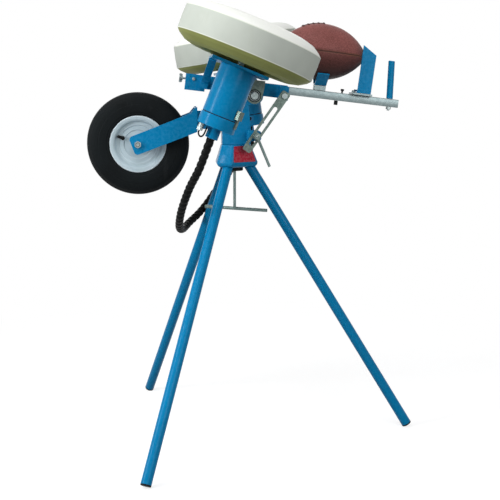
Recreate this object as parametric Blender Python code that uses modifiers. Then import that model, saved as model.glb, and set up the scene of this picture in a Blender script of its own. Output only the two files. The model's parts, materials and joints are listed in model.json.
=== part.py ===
"""Football throwing machine: a tripod, a swivelling neck with a transport wheel, and a tilting head.

The head carries two skewed throwing wheels with a motor under each, and a sliding rail with a ball cradle.
Metres, +Z up. The balls leave towards -X. The machine frame's Z axis is the tripod's axis and the swivel's.
The head frame has its origin on the tilt pivot, X back along the rail, Y across and Z up from the rail.
"""
import math

import bmesh
import bpy
from mathutils import Matrix, Vector

# Gaps between pieces that touch, and between a shaft and its bore.
seat_gap = 0.0003
bore_gap = 0.0003
running_gap = 0.0005

# How far a cutter reaches past what it cuts, and how far a piece that is welded on reaches into the other.
past = 0.1
weld = 0.003

# Facets round a tyre or its rim, a leg, a motor, the ball, a collar or disc and a small shaft.
wheel_sides = 32
leg_sides = 20
motor_sides = 28
ball_sides = 26
round_sides = 24
rod_sides = 16
peg_sides = 12

# The small bevel at sharp rims.
edge = 0.0008

# Tripod. The legs are straight round tubes that all point at one apex.
apex_height = 0.9425
leg_lean = math.radians(31.36)
leg_radius = 0.015875
leg_wall = 0.002
leg_headings = {"rear": 0.0, "near_front": -120.0, "far_front": 120.0}
leg_top_below_apex = 0.0556
plug_flange = 0.004
plug_stem = 0.022
collar_top_below_apex = 0.0078
collar_height = 0.0697
collar_skirt = 0.016
collar_foot_in = 0.009
collar_foot_rise = 0.0035
collar_foot_round = 0.010
collar_socket_end = 0.13
collar_edge_radius = 0.010
collar_flat_top = 0.041
collar_lobe_top = 0.049
collar_flat_wide = 0.057
collar_lobe_wide = 0.071
label_half_height = 0.0255
label_half_width = 0.0415
label_taper = 0.0105
label_thickness = 0.0012
label_corner = 0.003
label_below_middle = 0.002
friction_disc_radius = 0.027
friction_disc_thickness = 0.013
friction_disc_edge = 0.002
lock_tip_below_top = 0.004
lock_rod_radius = 0.0045
lock_bar_radius = 0.0053
lock_bar_half = 0.101
lock_bar_drop = 0.2032
lock_bar_offset = 0.004
lock_bar_turn = math.radians(-18.0)
lock_bar_slope = math.radians(2.2)

# Neck and tilt pivot.
pivot_x = 0.060
neck_height = 0.1503
neck_front = -0.0405
neck_rear = 0.0488
neck_half_width = 0.0325
neck_shoulder = 0.035
cheek_thickness = 0.008
cheek_depth = 0.045
neck_bend_drop = 0.100
neck_narrowing = 0.0063
neck_narrow_drop = 0.029
neck_notch_x = 0.012
neck_notch_drop = 0.006
lug_radius = 0.028
spigot_radius = 0.016
spigot_depth = 0.022
pivot_bolt_radius = 0.008
pivot_washer_radius = 0.0165
pivot_head_across = 0.0205
pivot_nut_across = 0.0235
pivot_washer_thickness = 0.0025
pivot_head_end = 0.0095
pivot_thread_end = 0.0135
pivot_nut_thickness = 0.0115
clamp_x = 0.0627
clamp_drop = 0.1217
clamp_lug_half = 0.016
clamp_lug_rear = 0.078
clamp_lug_corner = 0.008
clamp_stud_radius = 0.004
clamp_stud_past_link = 0.0204
clamp_stud_depth = 0.026
lever_rod_radius = 0.0043
lever_reach = 0.039
lever_drop = 0.093
lever_collar_radius = 0.0115
lever_collar_thickness = 0.0022
lever_hub_radius = 0.0085
lever_hub_length = 0.0215
lever_rod_from_link = 0.0150
lever_rod_start = 0.003
lever_rod_start_drop = 0.007

# Transport wheel and its fork.
axle_x = -0.3005
axle_drop = 0.147
axle_radius = 0.008
axle_nut_across = 0.019
axle_head_thickness = 0.008
axle_nut_thickness = 0.010
axle_thread_end = 0.012
tyre_radius = 0.1585
tyre_half_width = 0.0455
tyre_rim_radius = 0.0875
bead_seat_radius = 0.0755
hub_radius = 0.0195
fork_inner = 0.058
fork_thickness = 0.006
fork_slope = math.radians(20.8)
fork_high = 0.0305
fork_low = 0.0295
fork_nose = 0.019
fork_nose_radius = 0.011
fork_rear = -0.118
fork_top_drop = 0.0335
fork_box_half = 0.028
fork_box_drop = 0.045
fork_box_height = 0.057
fork_plate_below_box = 0.0055
fork_plate_below_top = 0.003
fork_knee = 0.022
fork_top_chamfer = 0.0045
valve_turn = math.radians(158)
valve_reach = 0.050
valve_radius = 0.0065
valve_length = 0.006
stem_radius = 0.0055
stem_tip_radius = 0.0042

# Beam, sleeve and rail.
head_pitch = math.radians(6.8)
beam_front = -0.2035
beam_rear = 0.101
beam_half_width = 0.022
beam_low = 0.002
beam_high = 0.043
sleeve_gap = 0.0004
rail_side = 0.025
rail_centre_w = 0.0278
rail_front = -0.045
rail_rear = 0.456
rail_wall = 0.002
rail_corner = 0.002
rail_socket_depth = 0.030
shoe_half_width = 0.0265
shoe_low = -0.006
shoe_rear = -0.155
end_plate_thickness = 0.0127
wing_shank_radius = 0.0032
saddle_thickness = 0.005
saddle_ear_radius = 0.025
saddle_front = -0.013
saddle_rear = 0.028
saddle_ear_high = 0.030
pivot_tube_radius = 0.014
beam_corner = 0.003
sleeve_start = 0.012
shoe_bolt_radius = 0.0056
shoe_bolt_tip_radius = 0.0042
shoe_bolt_height = 0.0038
shoe_bolt_setback = 0.0115
shoe_bolt_above_middle = 0.0065
wing_shank_inside = 0.008
wing_tip = 0.0195
wing_hub_start = 0.0085
wing_hub_radius = 0.0060
wing_half_thickness = 0.0013
wing_corner = 0.0012

# Elevation link.
link_pin_u = 0.0881
link_pin_w = 0.0104
link_pin_radius = 0.005
link_outer_v = -0.0774
link_thickness = 0.0052
link_half_width = 0.0142
link_above_pin = 0.0135
link_below_pin = 0.2055
slot_half = 0.0065
slot_near = 0.0425
slot_far = 0.1835
bracket_thickness = 0.006
bracket_web = 0.004
bracket_length = 0.026
bracket_above = 0.003
bracket_below = 0.005
link_pin_head_across = 0.0165
link_pin_nut_across = 0.0130
link_pin_head = 0.0068
link_pin_nut = 0.008
link_corner = 0.006

# Throwing wheels and motors. Each wheel's axis leans along the rail, by the same skew in opposite senses.
wheel_u = -0.053
wheel_w = 0.147
wheel_half_spacing = 0.272
wheel_skew = math.radians(15.4)
wheel_radius = 0.2068
wheel_half_width = 0.064
tread_half_width = 0.035
rim_flange_radius = 0.115
rim_half_width = 0.0485
rim_barrel_radius = 0.094
rim_disc_half = 0.004
rim_disc_gap = 0.0003
rim_hub_radius = 0.030
rim_hub_half = 0.034
spindle_radius = 0.0095
spindle_nut_across = 0.028
plate_top = 0.070
plate_thickness = 0.008
plate_half_length = 0.086
plate_outer = 0.050
plate_inner = 0.162
cross_front = -0.083
cross_rear = -0.028
cross_height = 0.025
cross_half_length = 0.205
strut_width = 0.024
strut_thickness = 0.007
strut_foot_height = 0.030
strut_foot_inner = 0.022
strut_near_setback = 0.017
strut_far_advance = 0.026
spindle_hole_gap = 0.003
spindle_in_motor = 0.030
spindle_past_hub = 0.018
spindle_washer_radius = 0.0210
spindle_washer_thickness = 0.0025
spindle_nut_end = 0.0155
rim_lip = 0.003
rim_seat_depth = 0.0165
motor_radius = 0.054
motor_bottom = 0.2245
cap_radius = 0.056
cap_bottom = 0.260
boss_radius = 0.019
boss_bottom = 0.292
motor_groove = 0.0015
cap_chamfer = 0.002
terminal_turn = math.radians(-38)
terminal_middle = 0.202
terminal_half_width = 0.0105
terminal_strap_height = 0.0057
terminal_strap_end = 0.2420
terminal_strap_low = 0.0005
terminal_strap_high = 0.0100
terminal_length = 0.026
terminal_height = 0.0122
gland_radius = 0.0085
gland_x = -0.0415
gland_y = -0.0150
gland_body = 0.015
gland_length = 0.021
lead_radius = 0.0024
harness_radius = 0.0125

# Ball and cradle.
ball_half_length = 0.143
ball_radius = 0.086
ball_u = 0.195
ball_w = 0.1595
strap = 0.004
front_rest_u = 0.184
front_rest_past_touch = 0.003
rest_length = 0.037
rest_angle = math.radians(38.0)
pad_height = 0.0154
pad_half_width = 0.012
back_rest_over_tip = 0.021
back_rest_u = ball_u + ball_half_length - back_rest_over_tip
back_rest_length = 0.044
back_rest_half = 0.0288
back_rest_front_w = 0.196
back_rest_rear_w = 0.168
back_rest_lean = 0.015
back_rest_flare = 0.0016
far_arm_setback = 0.0135
slide_plate_u = 0.303
slide_plate_length = 0.063
slide_plate_half = 0.0345
slide_plate_thickness = 0.006
slide_bolt_u = 0.0068
slide_bolt_v = -0.008
slide_bolt_height = 0.0065
slide_bolt_across = 0.0110
peg_u = 0.2757
peg_radius = 0.0030
peg_head_radius = 0.0055
peg_head_low = 0.0065
peg_height = 0.0125
stop_bolt_u = 0.2600
stop_bolt_length = 0.0135
stop_bolt_across = 0.0110
handle_u = 0.4284
handle_radius = 0.0103
handle_length = 0.1175
handle_lean = -0.0785
handle_nut_across = 0.0140
handle_nut_height = 0.0075
handle_thread_radius = 0.0042
handle_thread_end = 0.0115

for thing in list(bpy.data.objects):
    bpy.data.objects.remove(thing, do_unlink=True)

parts = bpy.data.collections.new("football_throwing_machine")
cutters = bpy.data.collections.new("cutters")
cutters.hide_render = True
bpy.context.scene.collection.children.link(parts)
bpy.context.scene.collection.children.link(cutters)

# Finish of each material: colour, metallic, roughness.
finishes = {
    "blue": ((0.012, 0.165, 0.42, 1.0), 0.0, 0.32),
    "zinc": ((0.56, 0.58, 0.56, 1.0), 1.0, 0.38),
    "cream": ((0.78, 0.78, 0.70, 1.0), 0.0, 0.55),
    "tyre": ((0.018, 0.018, 0.02, 1.0), 0.0, 0.7),
    "white": ((0.72, 0.74, 0.76, 1.0), 0.0, 0.35),
    "black": ((0.02, 0.02, 0.022, 1.0), 0.0, 0.5),
    "leather": ((0.17, 0.055, 0.04, 1.0), 0.0, 0.55),
    "red": ((0.5, 0.02, 0.03, 1.0), 0.0, 0.4),
}


def material_for(name, finish):
    colour, metallic, roughness = finishes[finish]
    made = bpy.data.materials.new(name + "_" + finish)
    made.use_nodes = True
    shader = made.node_tree.nodes["Principled BSDF"]
    shader.inputs["Base Color"].default_value = colour
    shader.inputs["Metallic"].default_value = metallic
    shader.inputs["Roughness"].default_value = roughness
    made.diffuse_color = colour
    return made


def empty(name, parent, matrix):
    made = bpy.data.objects.new(name, None)
    made.empty_display_size = 0.03
    parts.objects.link(made)
    made.parent = parent
    made.matrix_local = matrix
    return made


def node(name, shape, parent, finish):
    """One named piece of the machine, in its parent's frame."""
    made = bpy.data.objects.new(name, shape)
    shape.materials.append(material_for(name, finish))
    parts.objects.link(made)
    made.parent = parent
    if made.type == "MESH":
        shape.shade_smooth()
        shape.set_sharp_from_angle(angle=math.radians(35))
    return made


def boolean(piece, shape, operation, label):
    tool = bpy.data.objects.new(piece.name + "_" + label, shape)
    cutters.objects.link(tool)
    tool.parent = piece.parent
    tool.hide_render = True
    tool.display_type = "WIRE"
    change = piece.modifiers.new(label, "BOOLEAN")
    change.operation = operation
    change.solver = "EXACT"
    change.object = tool


def cut(piece, shape, label):
    boolean(piece, shape, "DIFFERENCE", label)


def join(piece, shape, label):
    boolean(piece, shape, "UNION", label)


def mesh_of(work, name="shape"):
    bmesh.ops.recalc_face_normals(work, faces=work.faces)
    shape = bpy.data.meshes.new(name)
    work.to_mesh(shape)
    work.free()
    return shape


def box(x0, x1, y0, y1, z0, z1):
    work = bmesh.new()
    size = Matrix.Diagonal((x1 - x0, y1 - y0, z1 - z0, 1))
    middle = Matrix.Translation(((x0 + x1) / 2, (y0 + y1) / 2, (z0 + z1) / 2))
    bmesh.ops.create_cube(work, size=1, matrix=middle @ size)
    return mesh_of(work)


def rod(start, end, radius, sides=rod_sides, end_radius=None, turn=0.0):
    """A cylinder or cone from start to end. Turn is about its own axis."""
    start = Vector(start)
    end = Vector(end)
    aim = (end - start).to_track_quat("Z", "Y").to_matrix().to_4x4()
    work = bmesh.new()
    bmesh.ops.create_cone(
        work, cap_ends=True, segments=sides, radius1=radius, radius2=end_radius or radius,
        depth=(end - start).length,
        matrix=Matrix.Translation((start + end) / 2) @ aim @ Matrix.Rotation(turn, 4, "Z"),
    )
    return mesh_of(work)


def cross_rod(x, z, y0, y1, radius, sides=rod_sides):
    return rod((x, y0, z), (x, y1, z), radius, sides)


def hexagon(start, end, across, turn=0.0):
    return rod(start, end, across / math.sqrt(3), sides=6, turn=turn)


def turned(name, outline, parent, finish, sides=wheel_sides):
    """An outline of (radius, height) pairs turned about the parent's Z. On the axis it closes itself."""
    area = sum(a[0] * b[1] - b[0] * a[1] for a, b in zip(outline, outline[1:] + outline[:1]))
    if area > 0:
        outline = outline[::-1]
    count = len(outline)
    edges = [(i, i + 1) for i in range(count - 1)]
    if min(radius for radius, _ in outline) > 0:
        edges.append((count - 1, 0))
    profile = bpy.data.meshes.new(name)
    profile.from_pydata([(radius, 0, height) for radius, height in outline], edges, [])
    made = node(name, profile, parent, finish)
    turn = made.modifiers.new("turn", "SCREW")
    turn.axis = "Z"
    turn.steps = sides
    turn.render_steps = sides
    turn.use_merge_vertices = True
    turn.merge_threshold = 0.00001
    turn.use_smooth_shade = True
    return made


# Which way a flat outline faces: its own x and y run along these axes, and its thickness along the third.
facing = {
    "plan": Matrix.Identity(4),
    "side": Matrix(((1, 0, 0, 0), (0, 0, 1, 0), (0, 1, 0, 0), (0, 0, 0, 1))),
    "end": Matrix(((0, 0, 1, 0), (1, 0, 0, 0), (0, 1, 0, 0), (0, 0, 0, 1))),
}


def plate(outline, low, high, view):
    """A flat outline with a thickness from low to high: plan is x and y, side is x and z, end is y and z."""
    curve = bpy.data.curves.new("outline", "CURVE")
    curve.dimensions = "2D"
    curve.fill_mode = "BOTH"
    curve.extrude = (high - low) / 2
    spline = curve.splines.new("POLY")
    spline.points.add(len(outline) - 1)
    for point, (x, y) in zip(spline.points, outline):
        point.co = (x, y, 0, 1)
    spline.use_cyclic_u = True
    drawn = bpy.data.objects.new("outline", curve)
    cutters.objects.link(drawn)
    graph = bpy.context.evaluated_depsgraph_get()
    flat = bpy.data.meshes.new_from_object(drawn.evaluated_get(graph))
    bpy.data.objects.remove(drawn)
    work = bmesh.new()
    work.from_mesh(flat)
    bmesh.ops.remove_doubles(work, verts=work.verts, dist=0.000001)
    bmesh.ops.transform(
        work, matrix=facing[view] @ Matrix.Translation((0, 0, (low + high) / 2)), verts=work.verts
    )
    bmesh.ops.dissolve_limit(work, angle_limit=0.001, verts=work.verts, edges=work.edges)
    return mesh_of(work)


def arc(x, y, radius, start, stop, steps):
    angles = [math.radians(start + (stop - start) * i / steps) for i in range(steps + 1)]
    return [(x + radius * math.cos(a), y + radius * math.sin(a)) for a in angles]


def rounded(outline, radius, steps=3):
    """The outline with an arc of the radius at each corner."""
    found = []
    for i, here in enumerate(outline):
        corner = Vector(here)
        before = (Vector(outline[i - 1]) - corner).normalized()
        after = (Vector(outline[(i + 1) % len(outline)]) - corner).normalized()
        half = math.acos(before.dot(after)) / 2
        middle = corner + (before + after).normalized() * (radius / math.sin(half))
        first = corner + before * (radius / math.tan(half)) - middle
        last = corner + after * (radius / math.tan(half)) - middle
        sweep = math.atan2(first.x * last.y - first.y * last.x, first.dot(last))
        for k in range(steps + 1):
            ray = Matrix.Rotation(sweep * k / steps, 2) @ first
            found.append(tuple(middle + ray))
    return found


def rounded_box_outline(x0, x1, y0, y1, radius, steps=3):
    return rounded([(x0, y0), (x1, y0), (x1, y1), (x0, y1)], radius, steps)


def smooth_route(points, per_span):
    """Points along a smooth curve that passes through every given point."""
    ends = [2 * points[0] - points[1]] + points + [2 * points[-1] - points[-2]]
    found = []
    for i in range(1, len(ends) - 2):
        a, b, c, d = ends[i - 1:i + 3]
        for k in range(per_span):
            t = k / per_span
            bend = (2 * a - 5 * b + 4 * c - d) * t ** 2 + (3 * b - a - 3 * c + d) * t ** 3
            found.append(0.5 * (2 * b + (c - a) * t + bend))
    found.append(points[-1].copy())
    return found


def cord(name, points, radius, parent, finish, per_span=3):
    curve = bpy.data.curves.new(name, "CURVE")
    curve.dimensions = "3D"
    curve.bevel_depth = radius
    curve.bevel_resolution = 2
    curve.use_fill_caps = True
    spline = curve.splines.new("POLY")
    route = smooth_route([Vector(p) for p in points], per_span)
    spline.points.add(len(route) - 1)
    for point, here in zip(spline.points, route):
        point.co = (*here, 1)
    return node(name, curve, parent, finish)


origin = empty("origin", None, Matrix.Identity(4))

# Heights above the floor. What stands on the tripod keeps its distance from the collar's top and the pivot.
collar_top = apex_height - collar_top_below_apex
collar_bottom = collar_top - collar_height
collar_widest = collar_bottom + collar_skirt
lock_bar_height = collar_top - lock_bar_drop
pivot_z = collar_top + neck_height
cheek_floor = pivot_z - cheek_depth
clamp_z = pivot_z - clamp_drop
axle_z = pivot_z - axle_drop
fork_top = pivot_z - fork_top_drop
fork_box_high = pivot_z - fork_box_drop
fork_box_low = fork_box_high - fork_box_height

# Legs and their plugs. A leg's own frame has its origin at the apex and Z down along the tube.
leg_length = (apex_height - leg_radius * math.sin(leg_lean)) / math.cos(leg_lean)
tube_end = leg_length - plug_flange
leg_inner = leg_radius - leg_wall
for leg_name, heading in leg_headings.items():
    leg_axis = empty("leg_axis_" + leg_name, origin, (
        Matrix.Translation((0, 0, apex_height))
        @ Matrix.Rotation(math.radians(heading), 4, "Z")
        @ Matrix.Rotation(math.pi - leg_lean, 4, "Y")
    ))
    turned("leg_" + leg_name, [
        (0, leg_top_below_apex),
        (leg_radius, leg_top_below_apex),
        (leg_radius, tube_end - seat_gap),
        (leg_inner, tube_end - seat_gap),
        (leg_inner, tube_end - plug_stem - seat_gap),
        (0, tube_end - plug_stem - seat_gap),
    ], leg_axis, "blue", sides=leg_sides)
    turned("foot_plug_" + leg_name, [
        (0, tube_end - plug_stem),
        (leg_inner - bore_gap, tube_end - plug_stem),
        (leg_inner - bore_gap, tube_end),
        (leg_radius, tube_end),
        (leg_radius, leg_length - edge),
        (leg_radius - edge, leg_length),
        (0, leg_length),
    ], leg_axis, "black", sides=leg_sides)


# Collar, lofted upwards. Its section has a narrow face over each leg and a wide one between two legs.
def collar_ring(flat, lobe, height):
    corners = []
    for k in range(6):
        first = math.radians(60 * k)
        second = first + math.radians(60)
        reach_a = lobe if k % 2 == 0 else flat
        reach_b = flat if k % 2 == 0 else lobe
        x = (reach_a * math.sin(second) - reach_b * math.sin(first)) / math.sin(second - first)
        y = (reach_b * math.cos(first) - reach_a * math.cos(second)) / math.sin(second - first)
        corners.append((x, y))
    return [(x, y, height) for x, y in rounded(corners, collar_edge_radius, 2)]


foot_steps = (
    (collar_foot_in, collar_bottom),
    (collar_foot_rise, collar_bottom + collar_foot_rise),
    (0.0, collar_bottom + collar_foot_round),
    (0.0, collar_widest),
)
rings = []
for narrower, height in foot_steps:
    rings.append(collar_ring(collar_flat_wide - narrower, collar_lobe_wide - narrower, height))
rings.append(collar_ring(collar_flat_top + edge, collar_lobe_top + edge, collar_top - 2 * edge))
rings.append(collar_ring(collar_flat_top - edge, collar_lobe_top - edge, collar_top))
loft = bmesh.new()
loft_rings = [[loft.verts.new(point) for point in ring] for ring in rings]
loft.faces.new(loft_rings[0])
loft.faces.new(loft_rings[-1])
for lower, upper in zip(loft_rings, loft_rings[1:]):
    for k in range(len(lower)):
        loft.faces.new((lower[k - 1], lower[k], upper[k], upper[k - 1]))
collar = node("collar", mesh_of(loft, "collar"), origin, "blue")
apex = Vector((0, 0, apex_height))
for leg_name, heading in leg_headings.items():
    down = Vector((math.sin(leg_lean), 0, -math.cos(leg_lean)))
    down.rotate(Matrix.Rotation(math.radians(heading), 3, "Z"))
    socket_top = apex + down * (leg_top_below_apex - seat_gap)
    socket = rod(socket_top, apex + down * collar_socket_end, leg_radius + bore_gap, leg_sides)
    cut(collar, socket, "socket_" + leg_name)
spigot_bottom = collar_top - spigot_depth
swivel_bore = rod(
    (0, 0, spigot_bottom - seat_gap), (0, 0, collar_top + past), spigot_radius + bore_gap, round_sides,
)
cut(collar, swivel_bore, "swivel_bore")
cut(collar, rod((0, 0, collar_bottom - past), (0, 0, collar_top), lock_rod_radius + bore_gap), "lock_bore")

# Plain plate on the collar's wide face towards -Y.
face_slope = math.atan2(collar_flat_wide - collar_flat_top, collar_top - collar_widest)
face_middle = (collar_top + collar_widest) / 2 - label_below_middle
face_reach = collar_flat_wide - (face_middle - collar_widest) * math.tan(face_slope)
label_face = empty("label_face", origin, (
    Matrix.Rotation(math.radians(-60), 4, "Z")
    @ Matrix.Translation((face_reach, 0, face_middle))
    @ Matrix.Rotation(-face_slope, 4, "Y")
))
node("label_plate", plate(rounded([
    (-label_half_width, -label_half_height),
    (label_half_width, -label_half_height),
    (label_half_width - label_taper, label_half_height),
    (-label_half_width + label_taper, label_half_height),
], label_corner), 2 * seat_gap, 2 * seat_gap + label_thickness, "end"), label_face, "red")

# Friction disc under the collar, and the tee screw that clamps the neck's spigot in the tripod.
disc_top = collar_bottom - seat_gap
disc_bottom = disc_top - friction_disc_thickness
turned("friction_disc", [
    (lock_rod_radius + bore_gap, disc_bottom),
    (friction_disc_radius - friction_disc_edge, disc_bottom),
    (friction_disc_radius, disc_bottom + friction_disc_edge),
    (friction_disc_radius, disc_top),
    (lock_rod_radius + bore_gap, disc_top),
], origin, "black", sides=round_sides)
lock_axis = empty("lock_axis", origin, Matrix.Identity(4))
lock_tip = collar_top - lock_tip_below_top
lock_rod = rod((0, 0, lock_bar_height), (0, 0, lock_tip), lock_rod_radius)
lock_tee = node("lock_tee", lock_rod, lock_axis, "zinc")
bar_way = Vector((math.cos(lock_bar_slope), 0, -math.sin(lock_bar_slope)))
bar_way.rotate(Matrix.Rotation(lock_bar_turn, 3, "Z"))
bar_middle = Vector((lock_bar_offset, 0, lock_bar_height))
bar_reach = bar_way * lock_bar_half
join(lock_tee, rod(bar_middle - bar_reach, bar_middle + bar_reach, lock_bar_radius), "bar")

# Neck: a solid foot, two cheeks round the tilt pivot and a lug for the elevation clamp.
neck_axis = empty("neck_axis", origin, Matrix.Identity(4))
neck_foot = collar_top + seat_gap
neck_side = [
    (neck_front, neck_foot),
    (neck_rear, neck_foot),
    (neck_rear, pivot_z - neck_bend_drop),
    (neck_rear - neck_narrowing, pivot_z - neck_narrow_drop),
]
neck_side += arc(pivot_x, pivot_z, lug_radius, -110, 150, 12)
neck_side += [(neck_notch_x, pivot_z - neck_notch_drop), (neck_front, pivot_z - neck_shoulder)]
neck = node("neck", plate(neck_side, -neck_half_width, neck_half_width, "side"), neck_axis, "blue")
cheek_inner = neck_half_width - cheek_thickness
cut(neck, box(-2 * past, 2 * past, -cheek_inner, cheek_inner, cheek_floor, pivot_z + past), "cheek_gap")
cut(neck, cross_rod(pivot_x, pivot_z, -past, past, pivot_bolt_radius + bore_gap), "pivot_bore")
clamp_face = link_outer_v + link_thickness + running_gap
join(neck, plate(rounded_box_outline(
    neck_rear - 4 * weld, clamp_lug_rear, clamp_z - clamp_lug_half, clamp_z + clamp_lug_half,
    clamp_lug_corner,
), clamp_face, -neck_half_width + 2 * weld, "side"), "clamp_lug")
join(neck, rod((0, 0, spigot_bottom), (0, 0, neck_foot + 0.01), spigot_radius, round_sides), "spigot")
cut(neck, rod((0, 0, collar_bottom), (0, 0, lock_tip + seat_gap), lock_rod_radius + bore_gap), "lock_thread")
stud_end = clamp_face + clamp_stud_depth
cut(neck, cross_rod(clamp_x, clamp_z, -past, stud_end + seat_gap, clamp_stud_radius + bore_gap), "stud_bore")
stud_tip = link_outer_v - clamp_stud_past_link
node("clamp_stud", cross_rod(clamp_x, clamp_z, stud_tip, stud_end, clamp_stud_radius), neck_axis, "zinc")

# Tilt pivot bolt and nut, outside the ears of the head's saddle.
saddle_inner = neck_half_width + running_gap
saddle_outer = saddle_inner + saddle_thickness
bolt_seat = saddle_outer + seat_gap
pivot_bolt = node("pivot_bolt", cross_rod(
    pivot_x, pivot_z, -bolt_seat - weld, bolt_seat + pivot_thread_end, pivot_bolt_radius,
), neck_axis, "zinc")
washer_face = -bolt_seat - pivot_washer_thickness
washer = cross_rod(pivot_x, pivot_z, washer_face, -bolt_seat, pivot_washer_radius, round_sides)
join(pivot_bolt, washer, "washer")
join(pivot_bolt, hexagon(
    (pivot_x, -bolt_seat - pivot_head_end, pivot_z), (pivot_x, -bolt_seat - 0.002, pivot_z),
    pivot_head_across,
), "head")
pivot_nut = node("pivot_nut", hexagon(
    (pivot_x, bolt_seat, pivot_z), (pivot_x, bolt_seat + pivot_nut_thickness, pivot_z), pivot_nut_across,
), neck_axis, "zinc")
cut(pivot_nut, cross_rod(pivot_x, pivot_z, 0, past, pivot_bolt_radius + bore_gap), "thread")

# Fork of the transport wheel: two arms, a cross plate and a box that meets the neck's front.
fork_way = Vector((math.cos(fork_slope), math.sin(fork_slope)))
fork_up = Vector((-math.sin(fork_slope), math.cos(fork_slope)))
axle = Vector((axle_x, axle_z))
nose = axle - fork_way * fork_nose
under = axle - fork_up * fork_low
over = axle + fork_up * fork_high
knee_x = fork_rear - fork_knee
nose_high = nose + fork_up * fork_high
nose_low = nose - fork_up * fork_low
nose_path = [tuple(nose_high), tuple(nose_low), tuple(nose_low + fork_way)]
nose_corners = rounded(nose_path, fork_nose_radius, 4)[:10]
arm_side = nose_corners + [
    tuple(under + fork_way * ((fork_rear - under.x) / fork_way.x)),
    (fork_rear, fork_top),
    (fork_rear - fork_top_chamfer, fork_top),
    tuple(over + fork_way * ((knee_x - over.x) / fork_way.x)),
]
fork_outer = fork_inner + fork_thickness
fork = node("wheel_fork", plate(arm_side, -fork_outer, -fork_inner, "side"), neck_axis, "blue")
join(fork, plate(arm_side, fork_inner, fork_outer, "side"), "far_arm")
plate_front = fork_rear - fork_thickness
join(fork, box(
    plate_front, fork_rear + edge / 4, -fork_outer + edge, fork_outer - edge,
    fork_box_low - fork_plate_below_box, fork_top - fork_plate_below_top,
), "cross_plate")
join(fork, box(
    fork_rear - weld, neck_front - seat_gap, -fork_box_half, fork_box_half, fork_box_low, fork_box_high,
), "box")
cut(fork, cross_rod(axle_x, axle_z, -past, past, axle_radius + bore_gap), "axle_bore")
axle_seat = fork_outer + seat_gap
axle_bolt = node("axle_bolt", cross_rod(
    axle_x, axle_z, -axle_seat - weld, axle_seat + axle_thread_end, axle_radius,
), neck_axis, "zinc")
join(axle_bolt, hexagon(
    (axle_x, -axle_seat - axle_head_thickness, axle_z), (axle_x, -axle_seat, axle_z), axle_nut_across,
), "head")
axle_nut = node("axle_nut", hexagon(
    (axle_x, axle_seat, axle_z), (axle_x, axle_seat + axle_nut_thickness, axle_z), axle_nut_across,
), neck_axis, "zinc")
cut(axle_nut, cross_rod(axle_x, axle_z, 0, past, axle_radius + bore_gap), "thread")


def mirrored(half):
    """The whole closed outline from the half that lies below the wheel's middle plane."""
    whole = list(half)
    for radius, height in reversed(half):
        if height < -0.00001:
            whole.append((radius, -height))
    return whole


# Transport wheel, turned about its axle: local Z is the axle and points to +Y.
transport_axis = empty("transport_axis", neck_axis, (
    Matrix.Translation((axle_x, 0, axle_z)) @ Matrix.Rotation(-math.pi / 2, 4, "X")
))
hub_half = fork_inner - running_gap
flange_half = tyre_half_width - 0.003
turned("transport_rim", mirrored([
    (axle_radius + bore_gap, -hub_half),
    (hub_radius, -hub_half),
    (hub_radius, -flange_half + 0.013),
    (0.042, -flange_half + 0.014),
    (0.056, -flange_half + 0.012),
    (bead_seat_radius - 0.007, -flange_half + 0.010),
    (bead_seat_radius, -flange_half + 0.002),
    (tyre_rim_radius, -flange_half),
    (tyre_rim_radius, -flange_half + 0.004),
    (bead_seat_radius, -flange_half + 0.008),
]), transport_axis, "white", sides=wheel_sides)
turned("transport_tyre", mirrored([
    (bead_seat_radius + seat_gap, -flange_half + 0.0084),
    (tyre_rim_radius + seat_gap, -flange_half + 0.0044),
    (tyre_rim_radius + 0.0005, -flange_half),
    (0.104, -tyre_half_width),
    (0.122, -tyre_half_width),
    (tyre_radius - 0.014, -tyre_half_width + 0.007),
    (tyre_radius - 0.0045, -tyre_half_width + 0.020),
    (tyre_radius - 0.0006, -0.0105),
    (tyre_radius, 0.0),
]), transport_axis, "tyre", sides=wheel_sides)
valve_out = Vector((math.cos(valve_turn), -math.sin(valve_turn), 0))
valve_root = valve_out * valve_reach + Vector((0, 0, -flange_half + 0.0115))
valve_neck = valve_root - Vector((0, 0, valve_length))
valve = node("tyre_valve", rod(valve_root, valve_neck, valve_radius, peg_sides), transport_axis, "black")
stem_start = valve_neck - valve_out * weld + Vector((0, 0, weld))
stem_end = valve_neck + valve_out * 0.016 - Vector((0, 0, 0.011))
join(valve, rod(stem_start, stem_end, stem_radius, peg_sides, end_radius=stem_tip_radius), "stem")

# Beam: a square tube with the rail's sleeve through it and the pivot tube across it.
head_frame = Matrix.Translation((pivot_x, 0, pivot_z)) @ Matrix.Rotation(head_pitch, 4, "Y")
head_axis = empty("head_axis", neck_axis, head_frame)
rail_half = rail_side / 2
sleeve_half = rail_half + sleeve_gap
beam_outline = rounded_box_outline(-beam_half_width, beam_half_width, beam_low, beam_high, beam_corner, 2)
beam = node("beam", plate(beam_outline, beam_front, beam_rear, "end"), head_axis, "blue")
pivot_tube = cheek_inner - running_gap
join(beam, cross_rod(0, 0, -pivot_tube, pivot_tube, pivot_tube_radius, round_sides), "pivot_tube")
cut(beam, box(
    beam_front + sleeve_start, 2 * past, -sleeve_half, sleeve_half,
    rail_centre_w - sleeve_half, rail_centre_w + sleeve_half,
), "sleeve")
cut(beam, box(
    saddle_rear, beam_rear + past, -sleeve_half, sleeve_half, rail_centre_w, beam_high + past,
), "pad_way")
cut(beam, cross_rod(0, 0, -past, past, pivot_bolt_radius + bore_gap), "pivot_bore")
shoe_inner = beam_half_width + seat_gap
shoe_high = beam_high + edge
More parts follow.
